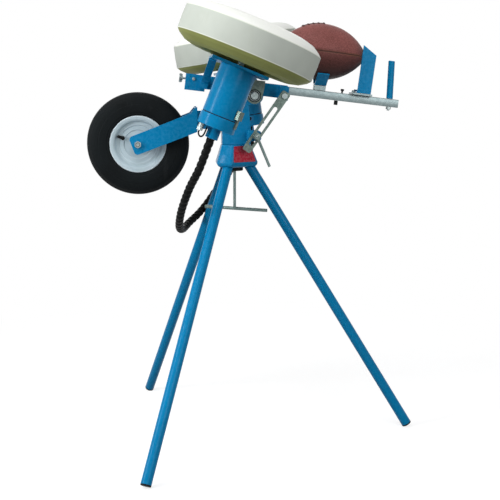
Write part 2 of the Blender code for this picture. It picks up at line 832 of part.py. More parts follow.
node("front_shoe", plate([
    (-shoe_half_width, shoe_high),
    (-shoe_half_width, shoe_low),
    (shoe_half_width, shoe_low),
    (shoe_half_width, shoe_high),
    (shoe_inner, shoe_high),
    (shoe_inner, beam_low - seat_gap),
    (-shoe_inner, beam_low - seat_gap),
    (-shoe_inner, shoe_high),
], beam_front, shoe_rear, "end"), head_axis, "blue")
end_plate_rear = beam_front - seat_gap
end_plate_front = end_plate_rear - end_plate_thickness
end_plate = node("end_plate", box(
    end_plate_front, end_plate_rear, -shoe_half_width, shoe_half_width, shoe_low, shoe_high,
), head_axis, "blue")
wing_bore_end = end_plate_front + wing_shank_inside + seat_gap
cut(end_plate, rod(
    (end_plate_front - past, 0, rail_centre_w), (wing_bore_end, 0, rail_centre_w),
    wing_shank_radius + bore_gap,
), "wing_bore")
bolt_x = beam_front + shoe_bolt_setback
bolt_z = (beam_low + beam_high) / 2 + shoe_bolt_above_middle
node("shoe_bolt", rod(
    (bolt_x, -shoe_half_width - seat_gap, bolt_z), (bolt_x, -shoe_half_width - shoe_bolt_height, bolt_z),
    shoe_bolt_radius, end_radius=shoe_bolt_tip_radius,
), head_axis, "zinc")
wing_axis = empty("wing_axis", head_axis, Matrix.Translation((end_plate_front, 0, rail_centre_w)))
wing_shank = rod((-wing_tip, 0, 0), (wing_shank_inside, 0, 0), wing_shank_radius)
wing_screw = node("wing_screw", wing_shank, wing_axis, "zinc")
join(wing_screw, rod((-wing_tip, 0, 0), (-wing_hub_start, 0, 0), wing_hub_radius), "hub")
wing_up = [(-0.0185, 0.003), (-0.0095, 0.003), (-0.0100, 0.0125), (-0.0160, 0.0140), (-0.0205, 0.0120)]
wing_down = [(x, -z) for x, z in wing_up]
for wing_name, wing in (("wing_up", wing_up), ("wing_down", wing_down)):
    wing_shape = plate(rounded(wing, wing_corner, 2), -wing_half_thickness, wing_half_thickness, "side")
    join(wing_screw, wing_shape, wing_name)

# Saddle: a plate bent over the beam, with a round ear outside each cheek of the neck.
saddle_top = beam_high + seat_gap + saddle_thickness
saddle_side = [
    (saddle_ear_radius, 0.004),
    (saddle_rear, saddle_ear_high),
    (saddle_rear, saddle_top),
    (saddle_front, saddle_top),
    (-saddle_ear_radius + 0.001, 0.008),
]
saddle_side += arc(0, 0, saddle_ear_radius, 165, 368, 14)
saddle = node("pivot_saddle", plate(saddle_side, -saddle_outer, -saddle_inner, "side"), head_axis, "zinc")
join(saddle, plate(saddle_side, saddle_inner, saddle_outer, "side"), "far_ear")
join(saddle, box(saddle_front + edge, saddle_rear - edge / 4, -saddle_outer + edge, saddle_outer - edge,
                 beam_high + seat_gap, saddle_top - edge / 4), "bridge")
cut(saddle, cross_rod(0, 0, -past, past, pivot_bolt_radius + bore_gap), "pivot_bore")

# Bracket for the slotted link: a U of bent plate on the beam's side towards -Y.
bracket_rear = beam_rear - edge
bracket_front = bracket_rear - bracket_length
bracket_face = link_outer_v + link_thickness + running_gap
bracket_root = -beam_half_width - seat_gap
bracket = node("link_bracket", plate([
    (bracket_rear, bracket_root),
    (bracket_rear, bracket_face),
    (bracket_front, bracket_face),
    (bracket_front, bracket_face + bracket_thickness),
    (bracket_rear - bracket_web, bracket_face + bracket_thickness),
    (bracket_rear - bracket_web, bracket_root - bracket_thickness),
    (bracket_front, bracket_root - bracket_thickness),
    (bracket_front, bracket_root),
], beam_low - bracket_below, beam_high - bracket_above, "plan"), head_axis, "blue")
cut(bracket, cross_rod(
    link_pin_u, link_pin_w, bracket_face - 0.02, bracket_face + 0.02, link_pin_radius + bore_gap,
), "pin_bore")
pin_seat = link_outer_v - running_gap
pin_end = bracket_face + bracket_thickness + link_pin_nut
link_pin = node("link_pin", cross_rod(link_pin_u, link_pin_w, pin_seat - 0.002, pin_end, link_pin_radius),
                head_axis, "zinc")
join(link_pin, hexagon(
    (link_pin_u, pin_seat - link_pin_head, link_pin_w), (link_pin_u, pin_seat, link_pin_w),
    link_pin_head_across,
), "head")
join(link_pin, hexagon(
    (link_pin_u, bracket_face + bracket_thickness + seat_gap, link_pin_w),
    (link_pin_u, pin_end - 0.001, link_pin_w), link_pin_nut_across,
), "nut")

# Slotted link. Its frame has its origin on the pin and X down along the link towards the clamp.
pin_point = head_frame @ Vector((link_pin_u, 0, link_pin_w))
link_turn = math.atan2(pin_point.z - clamp_z, clamp_x - pin_point.x)
link_axis = empty("link_axis", head_axis, (
    Matrix.Translation((link_pin_u, 0, link_pin_w)) @ Matrix.Rotation(link_turn - head_pitch, 4, "Y")
))
link_inner = link_outer_v + link_thickness
link = node("slotted_link", plate(rounded_box_outline(
    -link_above_pin, link_below_pin, -link_half_width, link_half_width, link_corner,
), link_outer_v, link_inner, "side"), link_axis, "zinc")
cut(link, plate(rounded_box_outline(
    slot_near, slot_far, -slot_half, slot_half, slot_half - 0.0002, 5,
), link_outer_v - 0.01, link_inner + 0.01, "side"), "slot")
cut(link, cross_rod(0, 0, -past, -past / 2, link_pin_radius + bore_gap), "pin_bore")

# Clamp lever on the stud, outside the link.
lever_axis = empty("lever_axis", neck_axis, Matrix.Translation((clamp_x, 0, clamp_z)))
lever_seat = link_outer_v - seat_gap
lever_collar = cross_rod(
    0, 0, lever_seat, lever_seat - lever_collar_thickness, lever_collar_radius, round_sides,
)
lever = node("clamp_lever", lever_collar, lever_axis, "zinc")
lever_end = lever_seat - lever_hub_length
join(lever, cross_rod(0, 0, lever_seat - 0.001, lever_end, lever_hub_radius, round_sides), "hub")
lever_y = lever_seat - lever_rod_from_link
join(lever, rod(
    (lever_rod_start, lever_y, -lever_rod_start_drop), (lever_reach, lever_y, -lever_drop), lever_rod_radius,
), "rod")
cut(lever, cross_rod(0, 0, -2 * past, 0.0, clamp_stud_radius + bore_gap), "stud_bore")

# Crosshead: a cross bar on the beam and a tilted plate for each motor, welded together with a strut each.
cross_low = beam_high + seat_gap
cross = node("crosshead", box(
    cross_front, cross_rear, -cross_half_length, cross_half_length, cross_low, cross_low + cross_height,
), head_axis, "blue")
wheel_frames = {}
for side_name, side in (("near", -1), ("far", 1)):
    frame = (
        Matrix.Translation((wheel_u, side * wheel_half_spacing, wheel_w))
        @ Matrix.Rotation(-side * wheel_skew, 4, "Y")
    )
    wheel_frames[side_name] = frame
    edges_v = sorted((side * plate_outer, -side * plate_inner))
    plate_bottom = -plate_top - plate_thickness
    motor_plate = box(-plate_half_length, plate_half_length, *edges_v, plate_bottom, -plate_top)
    motor_plate.transform(frame)
    join(cross, motor_plate, side_name + "_plate")
    plate_bore = rod((0, 0, plate_bottom - past), (0, 0, 0), spindle_radius + spindle_hole_gap)
    plate_bore.transform(frame)
    cut(cross, plate_bore, side_name + "_spindle_bore")
    carried_by = shoe_half_width if side < 0 else beam_half_width
    foot_v = carried_by + seat_gap
    strut_foot_u = shoe_rear - strut_near_setback if side < 0 else shoe_rear + strut_far_advance
    plate_corner = frame @ Vector((
        strut_width / 2 - plate_half_length, -side * plate_inner, plate_bottom + plate_thickness / 2,
    ))
    rise = plate_corner.z
    reach = side * plate_corner.y + strut_width
    band = [
        (side * foot_v, beam_low),
        (side * foot_v, beam_low + strut_foot_height),
        (side * reach, rise),
        (side * reach, rise - strut_thickness),
        (side * (foot_v + strut_thickness), beam_low + strut_foot_inner),
        (side * (foot_v + strut_thickness), beam_low),
    ]
    strut = plate(band, 0, strut_width, "end")
    slant = (plate_corner.x - strut_width / 2 - strut_foot_u) / (rise - beam_low)
    for vertex in strut.vertices:
        vertex.co.x += strut_foot_u + slant * (vertex.co.z - beam_low)
    join(cross, strut, side_name + "_strut")

# Motors, spindles and throwing wheels, each in its wheel's own frame: origin at its centre, Z up its axis.
motor_top = plate_top + plate_thickness + seat_gap
spindle_end = motor_top + spindle_in_motor
rim_seat = rim_flange_radius - rim_seat_depth
for side_name, frame in wheel_frames.items():
    mount = empty(side_name + "_wheel_axis", head_axis, frame)
    turned(side_name + "_motor", [
        (0, -motor_bottom),
        (motor_radius - motor_groove, -motor_bottom),
        (motor_radius - motor_groove, -motor_bottom + 0.002),
        (motor_radius, -motor_bottom + 0.0025),
        (motor_radius, -motor_top),
        (spindle_radius + bore_gap, -motor_top),
        (spindle_radius + bore_gap, -spindle_end - seat_gap),
        (0, -spindle_end - seat_gap),
    ], mount, "blue", sides=motor_sides)
    turned(side_name + "_motor_cap", [
        (0, -boss_bottom),
        (boss_radius, -boss_bottom),
        (boss_radius, -cap_bottom),
        (cap_radius - cap_chamfer, -cap_bottom),
        (cap_radius, -cap_bottom + cap_chamfer),
        (cap_radius, -motor_bottom - seat_gap),
        (0, -motor_bottom - seat_gap),
    ], mount, "blue", sides=motor_sides)
    shaft = rod((0, 0, -spindle_end), (0, 0, rim_hub_half + spindle_past_hub), spindle_radius)
    spindle = node(side_name + "_spindle", shaft, mount, "zinc")
    join(spindle, rod(
        (0, 0, rim_hub_half + seat_gap), (0, 0, rim_hub_half + spindle_washer_thickness),
        spindle_washer_radius, round_sides,
    ), "washer")
    join(spindle, hexagon(
        (0, 0, rim_hub_half + 0.002), (0, 0, rim_hub_half + spindle_nut_end), spindle_nut_across,
    ), "nut")
    turned(side_name + "_wheel_disc", mirrored([
        (spindle_radius + bore_gap, -rim_hub_half),
        (rim_hub_radius, -rim_hub_half),
        (rim_hub_radius, -rim_disc_half),
        (rim_barrel_radius - rim_disc_gap, -rim_disc_half),
    ]), mount, "white", sides=wheel_sides)
    turned(side_name + "_wheel_rim", mirrored([
        (rim_barrel_radius, -rim_half_width),
        (rim_flange_radius, -rim_half_width),
        (rim_flange_radius, -rim_half_width + rim_lip),
        (rim_seat, -rim_half_width + rim_lip),
    ]), mount, "white", sides=wheel_sides)
    turned(side_name + "_wheel_tyre", mirrored([
        (rim_seat + seat_gap, -rim_half_width + 0.0034),
        (rim_flange_radius + seat_gap, -rim_half_width + 0.0034),
        (rim_flange_radius + 0.001, -wheel_half_width + 0.008),
        (0.126, -wheel_half_width + 0.0025),
        (0.150, -wheel_half_width),
        (wheel_radius - 0.031, -wheel_half_width + 0.0065),
        (wheel_radius - 0.011, -tread_half_width - 0.010),
        (wheel_radius - 0.001, -tread_half_width),
        (wheel_radius, 0.0),
    ]), mount, "cream", sides=wheel_sides)

# Terminal box, cable gland and lead of the motor towards -Y.
near_mount = bpy.data.objects["near_wheel_axis"]
round_the_motor = Matrix.Rotation(terminal_turn, 4, "Z")
terminal_foot = cap_radius + seat_gap
terminal = box(
    terminal_foot, terminal_foot + terminal_height, -terminal_half_width, terminal_half_width,
    -terminal_middle - terminal_length / 2, -terminal_middle + terminal_length / 2,
)
terminal.transform(round_the_motor)
terminal_box = node("terminal_box", terminal, near_mount, "zinc")
terminal_strap = box(
    terminal_foot, terminal_foot + terminal_strap_height, terminal_strap_low, terminal_strap_high,
    -terminal_strap_end, -terminal_middle,
)
terminal_strap.transform(round_the_motor)
join(terminal_box, terminal_strap, "strap")
gland_top = -cap_bottom - seat_gap
gland_bottom = gland_top - gland_length
gland_barrel = rod((gland_x, gland_y, gland_top), (gland_x, gland_y, gland_top - gland_body), gland_radius)
gland = node("cable_gland", gland_barrel, near_mount, "zinc")
join(gland, hexagon(
    (gland_x, gland_y, gland_top - gland_body + 0.002), (gland_x, gland_y, gland_bottom), 2 * gland_radius,
), "nut")
cord("motor_lead", [
    (gland_x, gland_y, gland_bottom - seat_gap),
    (gland_x + 0.0005, gland_y, gland_bottom - 0.0080),
    (gland_x + 0.0060, gland_y - 0.001, gland_bottom - 0.0150),
    (gland_x + 0.0125, gland_y - 0.003, gland_bottom - 0.0145),
    (gland_x + 0.0165, gland_y - 0.005, gland_bottom - 0.0060),
    (gland_x + 0.0175, gland_y - 0.006, gland_top - lead_radius - 0.0008),
], lead_radius, near_mount, "black")

# Harness from boss to boss, hanging in front of the tripod. The points are in the machine frame.


def under_boss(side_name, below):
    return head_frame @ wheel_frames[side_name] @ Vector((0, 0, -boss_bottom - seat_gap - below))


harness_start = [under_boss("near", below) for below in (0, 0.010, 0.028)]
harness_end = [under_boss("far", below) for below in (0.028, 0.010, 0)]
harness_points = harness_start + [
    (-0.1200, -0.2480, 0.8760),
    (-0.1470, -0.1950, 0.8160),
    (-0.1680, -0.1350, 0.7500),
    (-0.1760, -0.0800, 0.7020),
    (-0.1740, -0.0200, 0.6720),
    (-0.1620, 0.0350, 0.6640),
    (-0.1430, 0.0850, 0.6760),
    (-0.1130, 0.1250, 0.6980),
    (-0.0880, 0.1540, 0.7220),
    (-0.0610, 0.1760, 0.7560),
    (-0.0250, 0.2020, 0.8030),
    (0.0170, 0.2350, 0.8510),
    (0.0610, 0.2660, 0.8860),
] + harness_end
from_head = head_frame.inverted()
cord("harness", [from_head @ Vector(point) for point in harness_points], harness_radius, head_axis, "black")

# Rail and what stands on it. Its frame is the head's, raised to the rail's centre line.
rail_axis = empty("rail_axis", head_axis, Matrix.Translation((0, 0, rail_centre_w)))
rail = node("rail", plate(
    rounded_box_outline(-rail_half, rail_half, -rail_half, rail_half, rail_corner, 2),
    rail_front, rail_rear, "end",
), rail_axis, "zinc")
rail_inner = rail_half - rail_wall
cut(rail, box(
    rail_rear - rail_socket_depth, rail_rear + past, -rail_inner, rail_inner, -rail_inner, rail_inner,
), "open_end")
seat = rail_half + seat_gap
front_rest_rear = front_rest_u + rest_length
pad_top = rail_half + pad_height
pad = box(front_rest_u, front_rest_rear, -pad_half_width, pad_half_width, seat, pad_top)
node("front_pad", pad, rail_axis, "zinc")

# Front rest: a strap bent to a wide V that touches the ball on both sides.
ball_above = ball_w - rail_centre_w
touch = ball_radius + seat_gap
touch_v = touch * math.sin(rest_angle)
touch_w = ball_above - touch * math.cos(rest_angle)
strap_low = pad_top + seat_gap
strap_high = strap_low + strap
slope = math.tan(rest_angle)
foot_v = touch_v - (touch_w - strap_high) / slope
tip_v = touch_v + front_rest_past_touch
tip_w = touch_w + front_rest_past_touch * slope
under_v = strap * math.sin(rest_angle)
under_w = strap * math.cos(rest_angle)
right_half = [
    (foot_v + under_v - (strap_high - under_w - strap_low) / slope, strap_low),
    (tip_v + under_v, tip_w - under_w),
    (tip_v, tip_w),
    (foot_v, strap_high),
]
left_half = [(-v, w) for v, w in reversed(right_half)]
node("front_rest", plate(right_half + left_half, front_rest_u, front_rest_rear, "end"), rail_axis, "blue")

# Slide plate and the back rest on it, a strap bent to a U whose ends are cut slanting down to the rear.
slide_top = seat + slide_plate_thickness
slide_plate = node("slide_plate", box(
    slide_plate_u, slide_plate_u + slide_plate_length, -slide_plate_half, slide_plate_half, seat, slide_top,
), rail_axis, "zinc")
slide_bolt_x = slide_plate_u + slide_bolt_u
join(slide_plate, hexagon(
    (slide_bolt_x, slide_bolt_v, slide_top - 0.001),
    (slide_bolt_x, slide_bolt_v, slide_top + slide_bolt_height),
    slide_bolt_across,
), "bolt")
back_foot = slide_top + seat_gap
back_top = back_rest_front_w - rail_centre_w + 0.02
back_outer = back_rest_half + strap
back_rest = plate([
    (-back_outer - back_rest_flare, back_top),
    (-back_outer, back_foot),
    (back_outer, back_foot),
    (back_outer + back_rest_flare, back_top),
    (back_rest_half + back_rest_flare, back_top),
    (back_rest_half, back_foot + strap),
    (-back_rest_half, back_foot + strap),
    (-back_rest_half - back_rest_flare, back_top),
], back_rest_u, back_rest_u + back_rest_length, "end")
for vertex in back_rest.vertices:
    vertex.co.x += back_rest_lean * (vertex.co.z - back_foot)
back_rest = node("back_rest", back_rest, rail_axis, "blue")
front_w = back_rest_front_w - rail_centre_w
rear_w = back_rest_rear_w - rail_centre_w
fall = (rear_w - front_w) / back_rest_length
cut(back_rest, plate([
    (back_rest_u - 0.02, front_w - 0.02 * fall), (back_rest_u + 0.08, front_w + 0.08 * fall),
    (back_rest_u + 0.08, 0.3), (back_rest_u - 0.02, 0.3),
], -past, past, "side"), "slanted_top")
cut(back_rest, box(
    back_rest_u - 0.02, back_rest_u + far_arm_setback, 0.010, past, back_foot + 0.010, 0.3,
), "far_edge")

# Peg, stop bolt and push handle.
peg_shank = rod((peg_u, 0, seat), (peg_u, 0, seat + peg_head_low + 0.001), peg_radius, peg_sides)
peg = node("rail_peg", peg_shank, rail_axis, "black")
join(peg, rod(
    (peg_u, 0, seat + peg_head_low), (peg_u, 0, seat + peg_height), peg_head_radius, peg_sides,
), "head")
node("stop_bolt", hexagon(
    (stop_bolt_u, 0, -seat), (stop_bolt_u, 0, -seat - stop_bolt_length), stop_bolt_across,
    turn=math.radians(30),
), rail_axis, "black")
handle = rod((0, 0, 0), (0, 0, handle_length), handle_radius, round_sides)
for vertex in handle.vertices:
    vertex.co += Vector((handle_u + handle_lean * vertex.co.z, 0, seat))
handle = node("push_handle", handle, rail_axis, "blue")
soft_edge = handle.modifiers.new("edges", "BEVEL")
soft_edge.width = edge
soft_edge.segments = 1
soft_edge.limit_method = "ANGLE"
handle_nut = node("handle_nut", hexagon(
    (handle_u, 0, -seat), (handle_u, 0, -seat - handle_nut_height), handle_nut_across, turn=math.radians(30),
), rail_axis, "black")
join(handle_nut, rod(
    (handle_u, 0, -seat - handle_nut_height + 0.0005), (handle_u, 0, -seat - handle_thread_end),
    handle_thread_radius, peg_sides,
), "thread")

# Football: an arc turned about the long axis, which lies along the rail.
ball_axis = empty("ball_axis", rail_axis, (
    Matrix.Translation((ball_u, 0, ball_above)) @ Matrix.Rotation(math.pi / 2, 4, "Y")
))
swing = (ball_half_length ** 2 + ball_radius ** 2) / (2 * ball_radius)
ball_steps = 14
ball_outline = []
for k in range(ball_steps + 1):
    x = -ball_half_length * math.cos(math.pi * k / ball_steps)
    ball_outline.append((max(0, math.sqrt(swing ** 2 - x ** 2) - (swing - ball_radius)), x))
ball_outline[0] = (0, -ball_half_length)
ball_outline[-1] = (0, ball_half_length)
turned("football", ball_outline, ball_axis, "leather", sides=ball_sides)

# Origin: on the floor, under the middle of the whole machine.
bpy.context.view_layer.update()
graph = bpy.context.evaluated_depsgraph_get()
low = Vector((9, 9, 9))
high = Vector((-9, -9, -9))
for piece in parts.objects:
    if piece.type == "EMPTY":
        continue
    solid = piece.evaluated_get(graph)
    shape = solid.to_mesh()
    for vertex in shape.vertices:
        point = solid.matrix_world @ vertex.co
        low = Vector(map(min, low, point))
        high = Vector(map(max, high, point))
    solid.to_mesh_clear()
origin.location = (-(low.x + high.x) / 2, -(low.y + high.y) / 2, -low.z)
bpy.context.view_layer.update()
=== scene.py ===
import json
import math
import bmesh
import bpy
from mathutils import Matrix, Vector

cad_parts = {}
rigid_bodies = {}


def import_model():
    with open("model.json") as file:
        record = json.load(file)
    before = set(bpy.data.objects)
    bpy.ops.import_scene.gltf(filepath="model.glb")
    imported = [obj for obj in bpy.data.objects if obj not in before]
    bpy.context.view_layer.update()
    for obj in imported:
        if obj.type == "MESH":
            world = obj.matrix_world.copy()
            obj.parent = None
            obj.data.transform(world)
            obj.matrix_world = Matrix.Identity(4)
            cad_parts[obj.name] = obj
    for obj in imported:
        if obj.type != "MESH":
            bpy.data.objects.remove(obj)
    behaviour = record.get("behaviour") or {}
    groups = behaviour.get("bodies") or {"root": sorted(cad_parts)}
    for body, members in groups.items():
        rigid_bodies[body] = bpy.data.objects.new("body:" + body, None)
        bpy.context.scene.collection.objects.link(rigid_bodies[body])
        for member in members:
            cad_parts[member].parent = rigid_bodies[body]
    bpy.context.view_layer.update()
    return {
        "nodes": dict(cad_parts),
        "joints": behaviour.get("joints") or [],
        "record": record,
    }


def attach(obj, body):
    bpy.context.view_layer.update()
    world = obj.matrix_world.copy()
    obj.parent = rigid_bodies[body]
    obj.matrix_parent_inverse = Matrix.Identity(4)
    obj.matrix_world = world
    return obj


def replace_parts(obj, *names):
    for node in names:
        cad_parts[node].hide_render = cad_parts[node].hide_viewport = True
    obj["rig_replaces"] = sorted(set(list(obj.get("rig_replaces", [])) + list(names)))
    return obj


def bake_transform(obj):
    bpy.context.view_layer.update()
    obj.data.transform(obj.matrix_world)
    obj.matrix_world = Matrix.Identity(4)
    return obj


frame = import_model()
nodes = frame["nodes"]
joints = {joint["name"]: joint for joint in frame["joints"]}
scene = bpy.context.scene
print("frame loaded:", len(nodes), "nodes")

# fixed sizes in metres, and where things are in the frame
tiltHeight = 1.085  # of the tilt pivot above the machine's own floor
pieceGap = 0.0003  # between a piece and the one that it sits on, as in the CAD
tiny = 0.00001  # a shorter length counts as none
across = Vector((0, 1, 0))
upwards = Vector((0, 0, 1))
backwards = Vector((1, 0, 0))
pivot = Vector(joints["tilt"]["pos_m"])
axle = Vector(joints["transport_wheel_spin"]["pos_m"])
upFromRail = Vector(joints["ball_lift"]["axis"])
machineOrigin = Vector((joints["swivel"]["pos_m"][0], 0, pivot.z - tiltHeight))


def frameAt(centre, zAxis, yAxis=across):
    xAxis = yAxis.cross(zAxis).normalized()
    turned = Matrix((xAxis, zAxis.cross(xAxis), zAxis)).transposed().to_4x4()
    return Matrix.Translation(centre) @ turned


headFrame = frameAt(pivot, upFromRail)
transportFrame = frameAt(axle, across, -upwards)
wheelFrames = {}
for side in ("near", "far"):
    spin = joints[side + "_wheel_spin"]
    wheelFrames[side] = frameAt(Vector(spin["pos_m"]), Vector(spin["axis"]))


# camera, worked out from the photograph: place in metres, angles in degrees, sensor in millimetres
view = {"place": (-0.22549, -3.41353, 1.1372), "turn": -4.594, "pitch": -8.960, "focalPixels": 1086.43,
        "imagePixels": 500, "sensor": 36, "clipStart": 0.05, "clipEnd": 60}
camera = bpy.data.objects.new("camera", bpy.data.cameras.new("camera"))
scene.collection.objects.link(camera)
camera.data.sensor_width = view["sensor"]
camera.data.lens = view["focalPixels"] / view["imagePixels"] * view["sensor"]
camera.data.clip_start = view["clipStart"]
camera.data.clip_end = view["clipEnd"]
camera.location = Vector(view["place"]) + machineOrigin
camera.rotation_euler = (math.radians(90 + view["pitch"]), 0, math.radians(view["turn"]))
scene.camera = camera
scene.view_settings.view_transform = "Standard"


# nodes and links, for every tree below
def link(source, target):
    target.id_data.links.new(source, target)


def setInputs(node, given):
    for label, value in given.items():
        node.inputs[label].default_value = value


def addNode(tree, kind, given=None, **values):
    # the inputs' values come as a dictionary, the node's own settings by name
    made = tree.nodes.new(kind)
    for key, value in values.items():
        setattr(made, key, value)
    setInputs(made, given or {})
    return made


def mathIn(tree, operation, first, second=0.0):
    made = addNode(tree, "ShaderNodeMath", operation=operation)
    for socket, value in zip(made.inputs, (first, second)):
        if isinstance(value, (int, float)):
            socket.default_value = value
        else:
            link(value, socket)
    return made.outputs[0]


def rangeIn(tree, value, low, high, toLow=0.0, toHigh=1.0):
    limits = {"From Min": low, "From Max": high, "To Min": toLow, "To Max": toHigh}
    ranged = addNode(tree, "ShaderNodeMapRange", limits)
    link(value, ranged.inputs["Value"])
    return ranged.outputs["Result"]


def noiseIn(tree, vector, scale, detail, roughness=0.5):
    noise = addNode(tree, "ShaderNodeTexNoise", {"Detail": detail, "Roughness": roughness})
    link(vector, noise.inputs["Vector"])
    link(scale, noise.inputs["Scale"])
    return noise.outputs["Fac"]


def mixShaders(tree, factor, first, second):
    mix = addNode(tree, "ShaderNodeMixShader")
    for socket, value in zip(mix.inputs, (factor, first, second)):
        link(value, socket)
    return mix.outputs[0]


def emission(tree, strength):
    return addNode(tree, "ShaderNodeEmission", {"Strength": strength}).outputs[0]


def seenDirectly(tree):
    # 1 for camera rays, reflections and glass, 0 for the light that falls on the object
    path = addNode(tree, "ShaderNodeLightPath")
    seen = path.outputs["Is Camera Ray"]
    for ray in ("Is Glossy Ray", "Is Transmission Ray"):
        seen = mathIn(tree, "MAXIMUM", seen, path.outputs[ray])
    return seen


def grey(value):
    return (value, value, value, 1)


# soft studio light: a pale room, big lamps above, in front and behind, and a bright strip on the left
studio = {"roomStrength": 0.25, "roomColor": (0.96, 0.98, 1.0), "floorColor": 0.26, "floorSeen": 0.40,
          "floorLift": 0.72, "floorHalf": 14.0, "shadowReach": 0.8, "whiteFrom": 2.0}
lamps = {
    "keyLamp": {"place": (-0.9, -1.3, 3.5), "aim": (0, 0, 1.0), "size": (2.2, 2.2), "power": 54},
    "frontLamp": {"place": (1.9, -3.9, 2.0), "aim": (0, 0, 0.9), "size": (2.4, 1.8), "power": 74},
    "backLamp": {"place": (0.6, 4.0, 2.1), "aim": (0, 0, 0.9), "size": (2.4, 1.8), "power": 42},
    "leftStrip": {"place": (-2.7, -1.2, 1.6), "aim": (-0.1, -0.2, 1.0), "size": (0.12, 1.8), "power": 62},
}

world = bpy.data.worlds.new("studioRoom")
scene.world = world
world.use_nodes = True
room = world.node_tree
roomLight = room.nodes["Background"]
setInputs(roomLight, {"Color": (*studio["roomColor"], 1), "Strength": studio["roomStrength"]})
backdrop = addNode(room, "ShaderNodeBackground", {"Color": grey(1), "Strength": 1.0})
roomOut = mixShaders(room, seenDirectly(room), roomLight.outputs[0], backdrop.outputs[0])
link(roomOut, room.nodes["World Output"].inputs["Surface"])

for lampName, lamp in lamps.items():
    light = bpy.data.lights.new(lampName, "AREA")
    light.shape = "RECTANGLE"
    light.size, light.size_y = lamp["size"]
    light.energy = lamp["power"]
    lightObject = bpy.data.objects.new(lampName, light)
    scene.collection.objects.link(lightObject)
    lightObject.location = lamp["place"]
    away = Vector(lamp["place"]) - Vector(lamp["aim"])
    lightObject.rotation_euler = away.to_track_quat("Z", "Y").to_euler()

half = studio["floorHalf"]
floorCorners = [(-half, -half, 0), (half, -half, 0), (half, half, 0), (-half, half, 0)]
floorMesh = bpy.data.meshes.new("studioFloor")
floorMesh.from_pydata(floorCorners, [], [(0, 1, 2, 3)])
floor = bpy.data.objects.new("studioFloor", floorMesh)
scene.collection.objects.link(floor)
floorMaterial = bpy.data.materials.new("studioFloor")
floorMaterial.use_nodes = True
floorTree = floorMaterial.node_tree
floorShader = floorTree.nodes["Principled BSDF"]
matt = {"Base Color": grey(studio["floorColor"]), "Roughness": 1.0, "Specular IOR Level": 0.0}
setInputs(floorShader, matt)

# near the object the floor keeps its shadow and is lifted to white, and further out it is plain white
floorSeen = addNode(floorTree, "ShaderNodeBsdfDiffuse", {"Color": grey(studio["floorSeen"])})
lifted = addNode(floorTree, "ShaderNodeAddShader")
link(floorSeen.outputs[0], lifted.inputs[0])
link(emission(floorTree, studio["floorLift"]), lifted.inputs[1])
fromMiddle = addNode(floorTree, "ShaderNodeVectorMath", operation="LENGTH")
link(addNode(floorTree, "ShaderNodeTexCoord").outputs["Object"], fromMiddle.inputs[0])
fadeLimits = {"From Min": studio["shadowReach"], "From Max": studio["whiteFrom"]}
fade = addNode(floorTree, "ShaderNodeMapRange", fadeLimits, interpolation_type="SMOOTHSTEP")
link(fromMiddle.outputs["Value"], fade.inputs["Value"])
whitened = mixShaders(floorTree, fade.outputs["Result"], lifted.outputs[0], emission(floorTree, 1.0))
floorOut = mixShaders(floorTree, seenDirectly(floorTree), floorShader.outputs[0], whitened)
link(floorOut, floorTree.nodes["Material Output"].inputs["Surface"])
floorMesh.materials.append(floorMaterial)
print("camera, lamps and floor made")


# shader groups, each used by more than one material
def startGroup(name, output, settings):
    # a group with a vector, and the scale and amount that its settings name
    tree = bpy.data.node_groups.new(name, "ShaderNodeTree")
    vector = tree.interface.new_socket("Vector", in_out="INPUT", socket_type="NodeSocketVector")
    vector.default_value = (0, 0, 0)
    for label in ("Scale", "Amount"):
        if label in settings:
            socket = tree.interface.new_socket(label, in_out="INPUT", socket_type="NodeSocketFloat")
            socket.default_value = settings[label]
    tree.interface.new_socket(output, in_out="OUTPUT", socket_type="NodeSocketFloat")
    return tree, tree.nodes.new("NodeGroupInput"), tree.nodes.new("NodeGroupOutput")


def makeMottle():
    # slow change of tone over a surface
    mottle = {"Scale": 6.0, "detail": 3.0, "tones": (0.32, 0.68)}
    tree, given, out = startGroup("mottle", "Value", mottle)
    broad = noiseIn(tree, given.outputs["Vector"], given.outputs["Scale"], mottle["detail"])
    link(rangeIn(tree, broad, *mottle["tones"]), out.inputs["Value"])
    return tree


def makeGrain():
    # fine even grain for the height of a bump
    grain = {"Scale": 600.0, "detail": 2.0, "roughness": 0.6}
    tree, given, out = startGroup("grain", "Height", grain)
    fine = noiseIn(tree, given.outputs["Vector"], given.outputs["Scale"], grain["detail"], grain["roughness"])
    link(fine, out.inputs["Height"])
    return tree


def makeScuffs():
    # sparse short scratches and specks
    scuffs = {"Scale": 40.0, "Amount": 0.5, "stretch": (1.0, 1.0, 0.16), "detail": 4.0, "roughness": 0.72,
              "lines": (0.60, 0.66), "patchScale": 0.15, "patchDetail": 2.0, "patches": (0.48, 0.62)}
    tree, given, out = startGroup("scuffs", "Mask", scuffs)
    stretched = addNode(tree, "ShaderNodeMapping", {"Scale": scuffs["stretch"]})
    link(given.outputs["Vector"], stretched.inputs["Vector"])
    scratches = stretched.outputs["Vector"]
    lines = noiseIn(tree, scratches, given.outputs["Scale"], scuffs["detail"], scuffs["roughness"])
    patchScale = mathIn(tree, "MULTIPLY", given.outputs["Scale"], scuffs["patchScale"])
    patches = noiseIn(tree, given.outputs["Vector"], patchScale, scuffs["patchDetail"])
    sharp = rangeIn(tree, lines, *scuffs["lines"])
    both = mathIn(tree, "MULTIPLY", sharp, rangeIn(tree, patches, *scuffs["patches"]))
    link(mathIn(tree, "MULTIPLY", both, given.outputs["Amount"]), out.inputs["Mask"])
    return tree


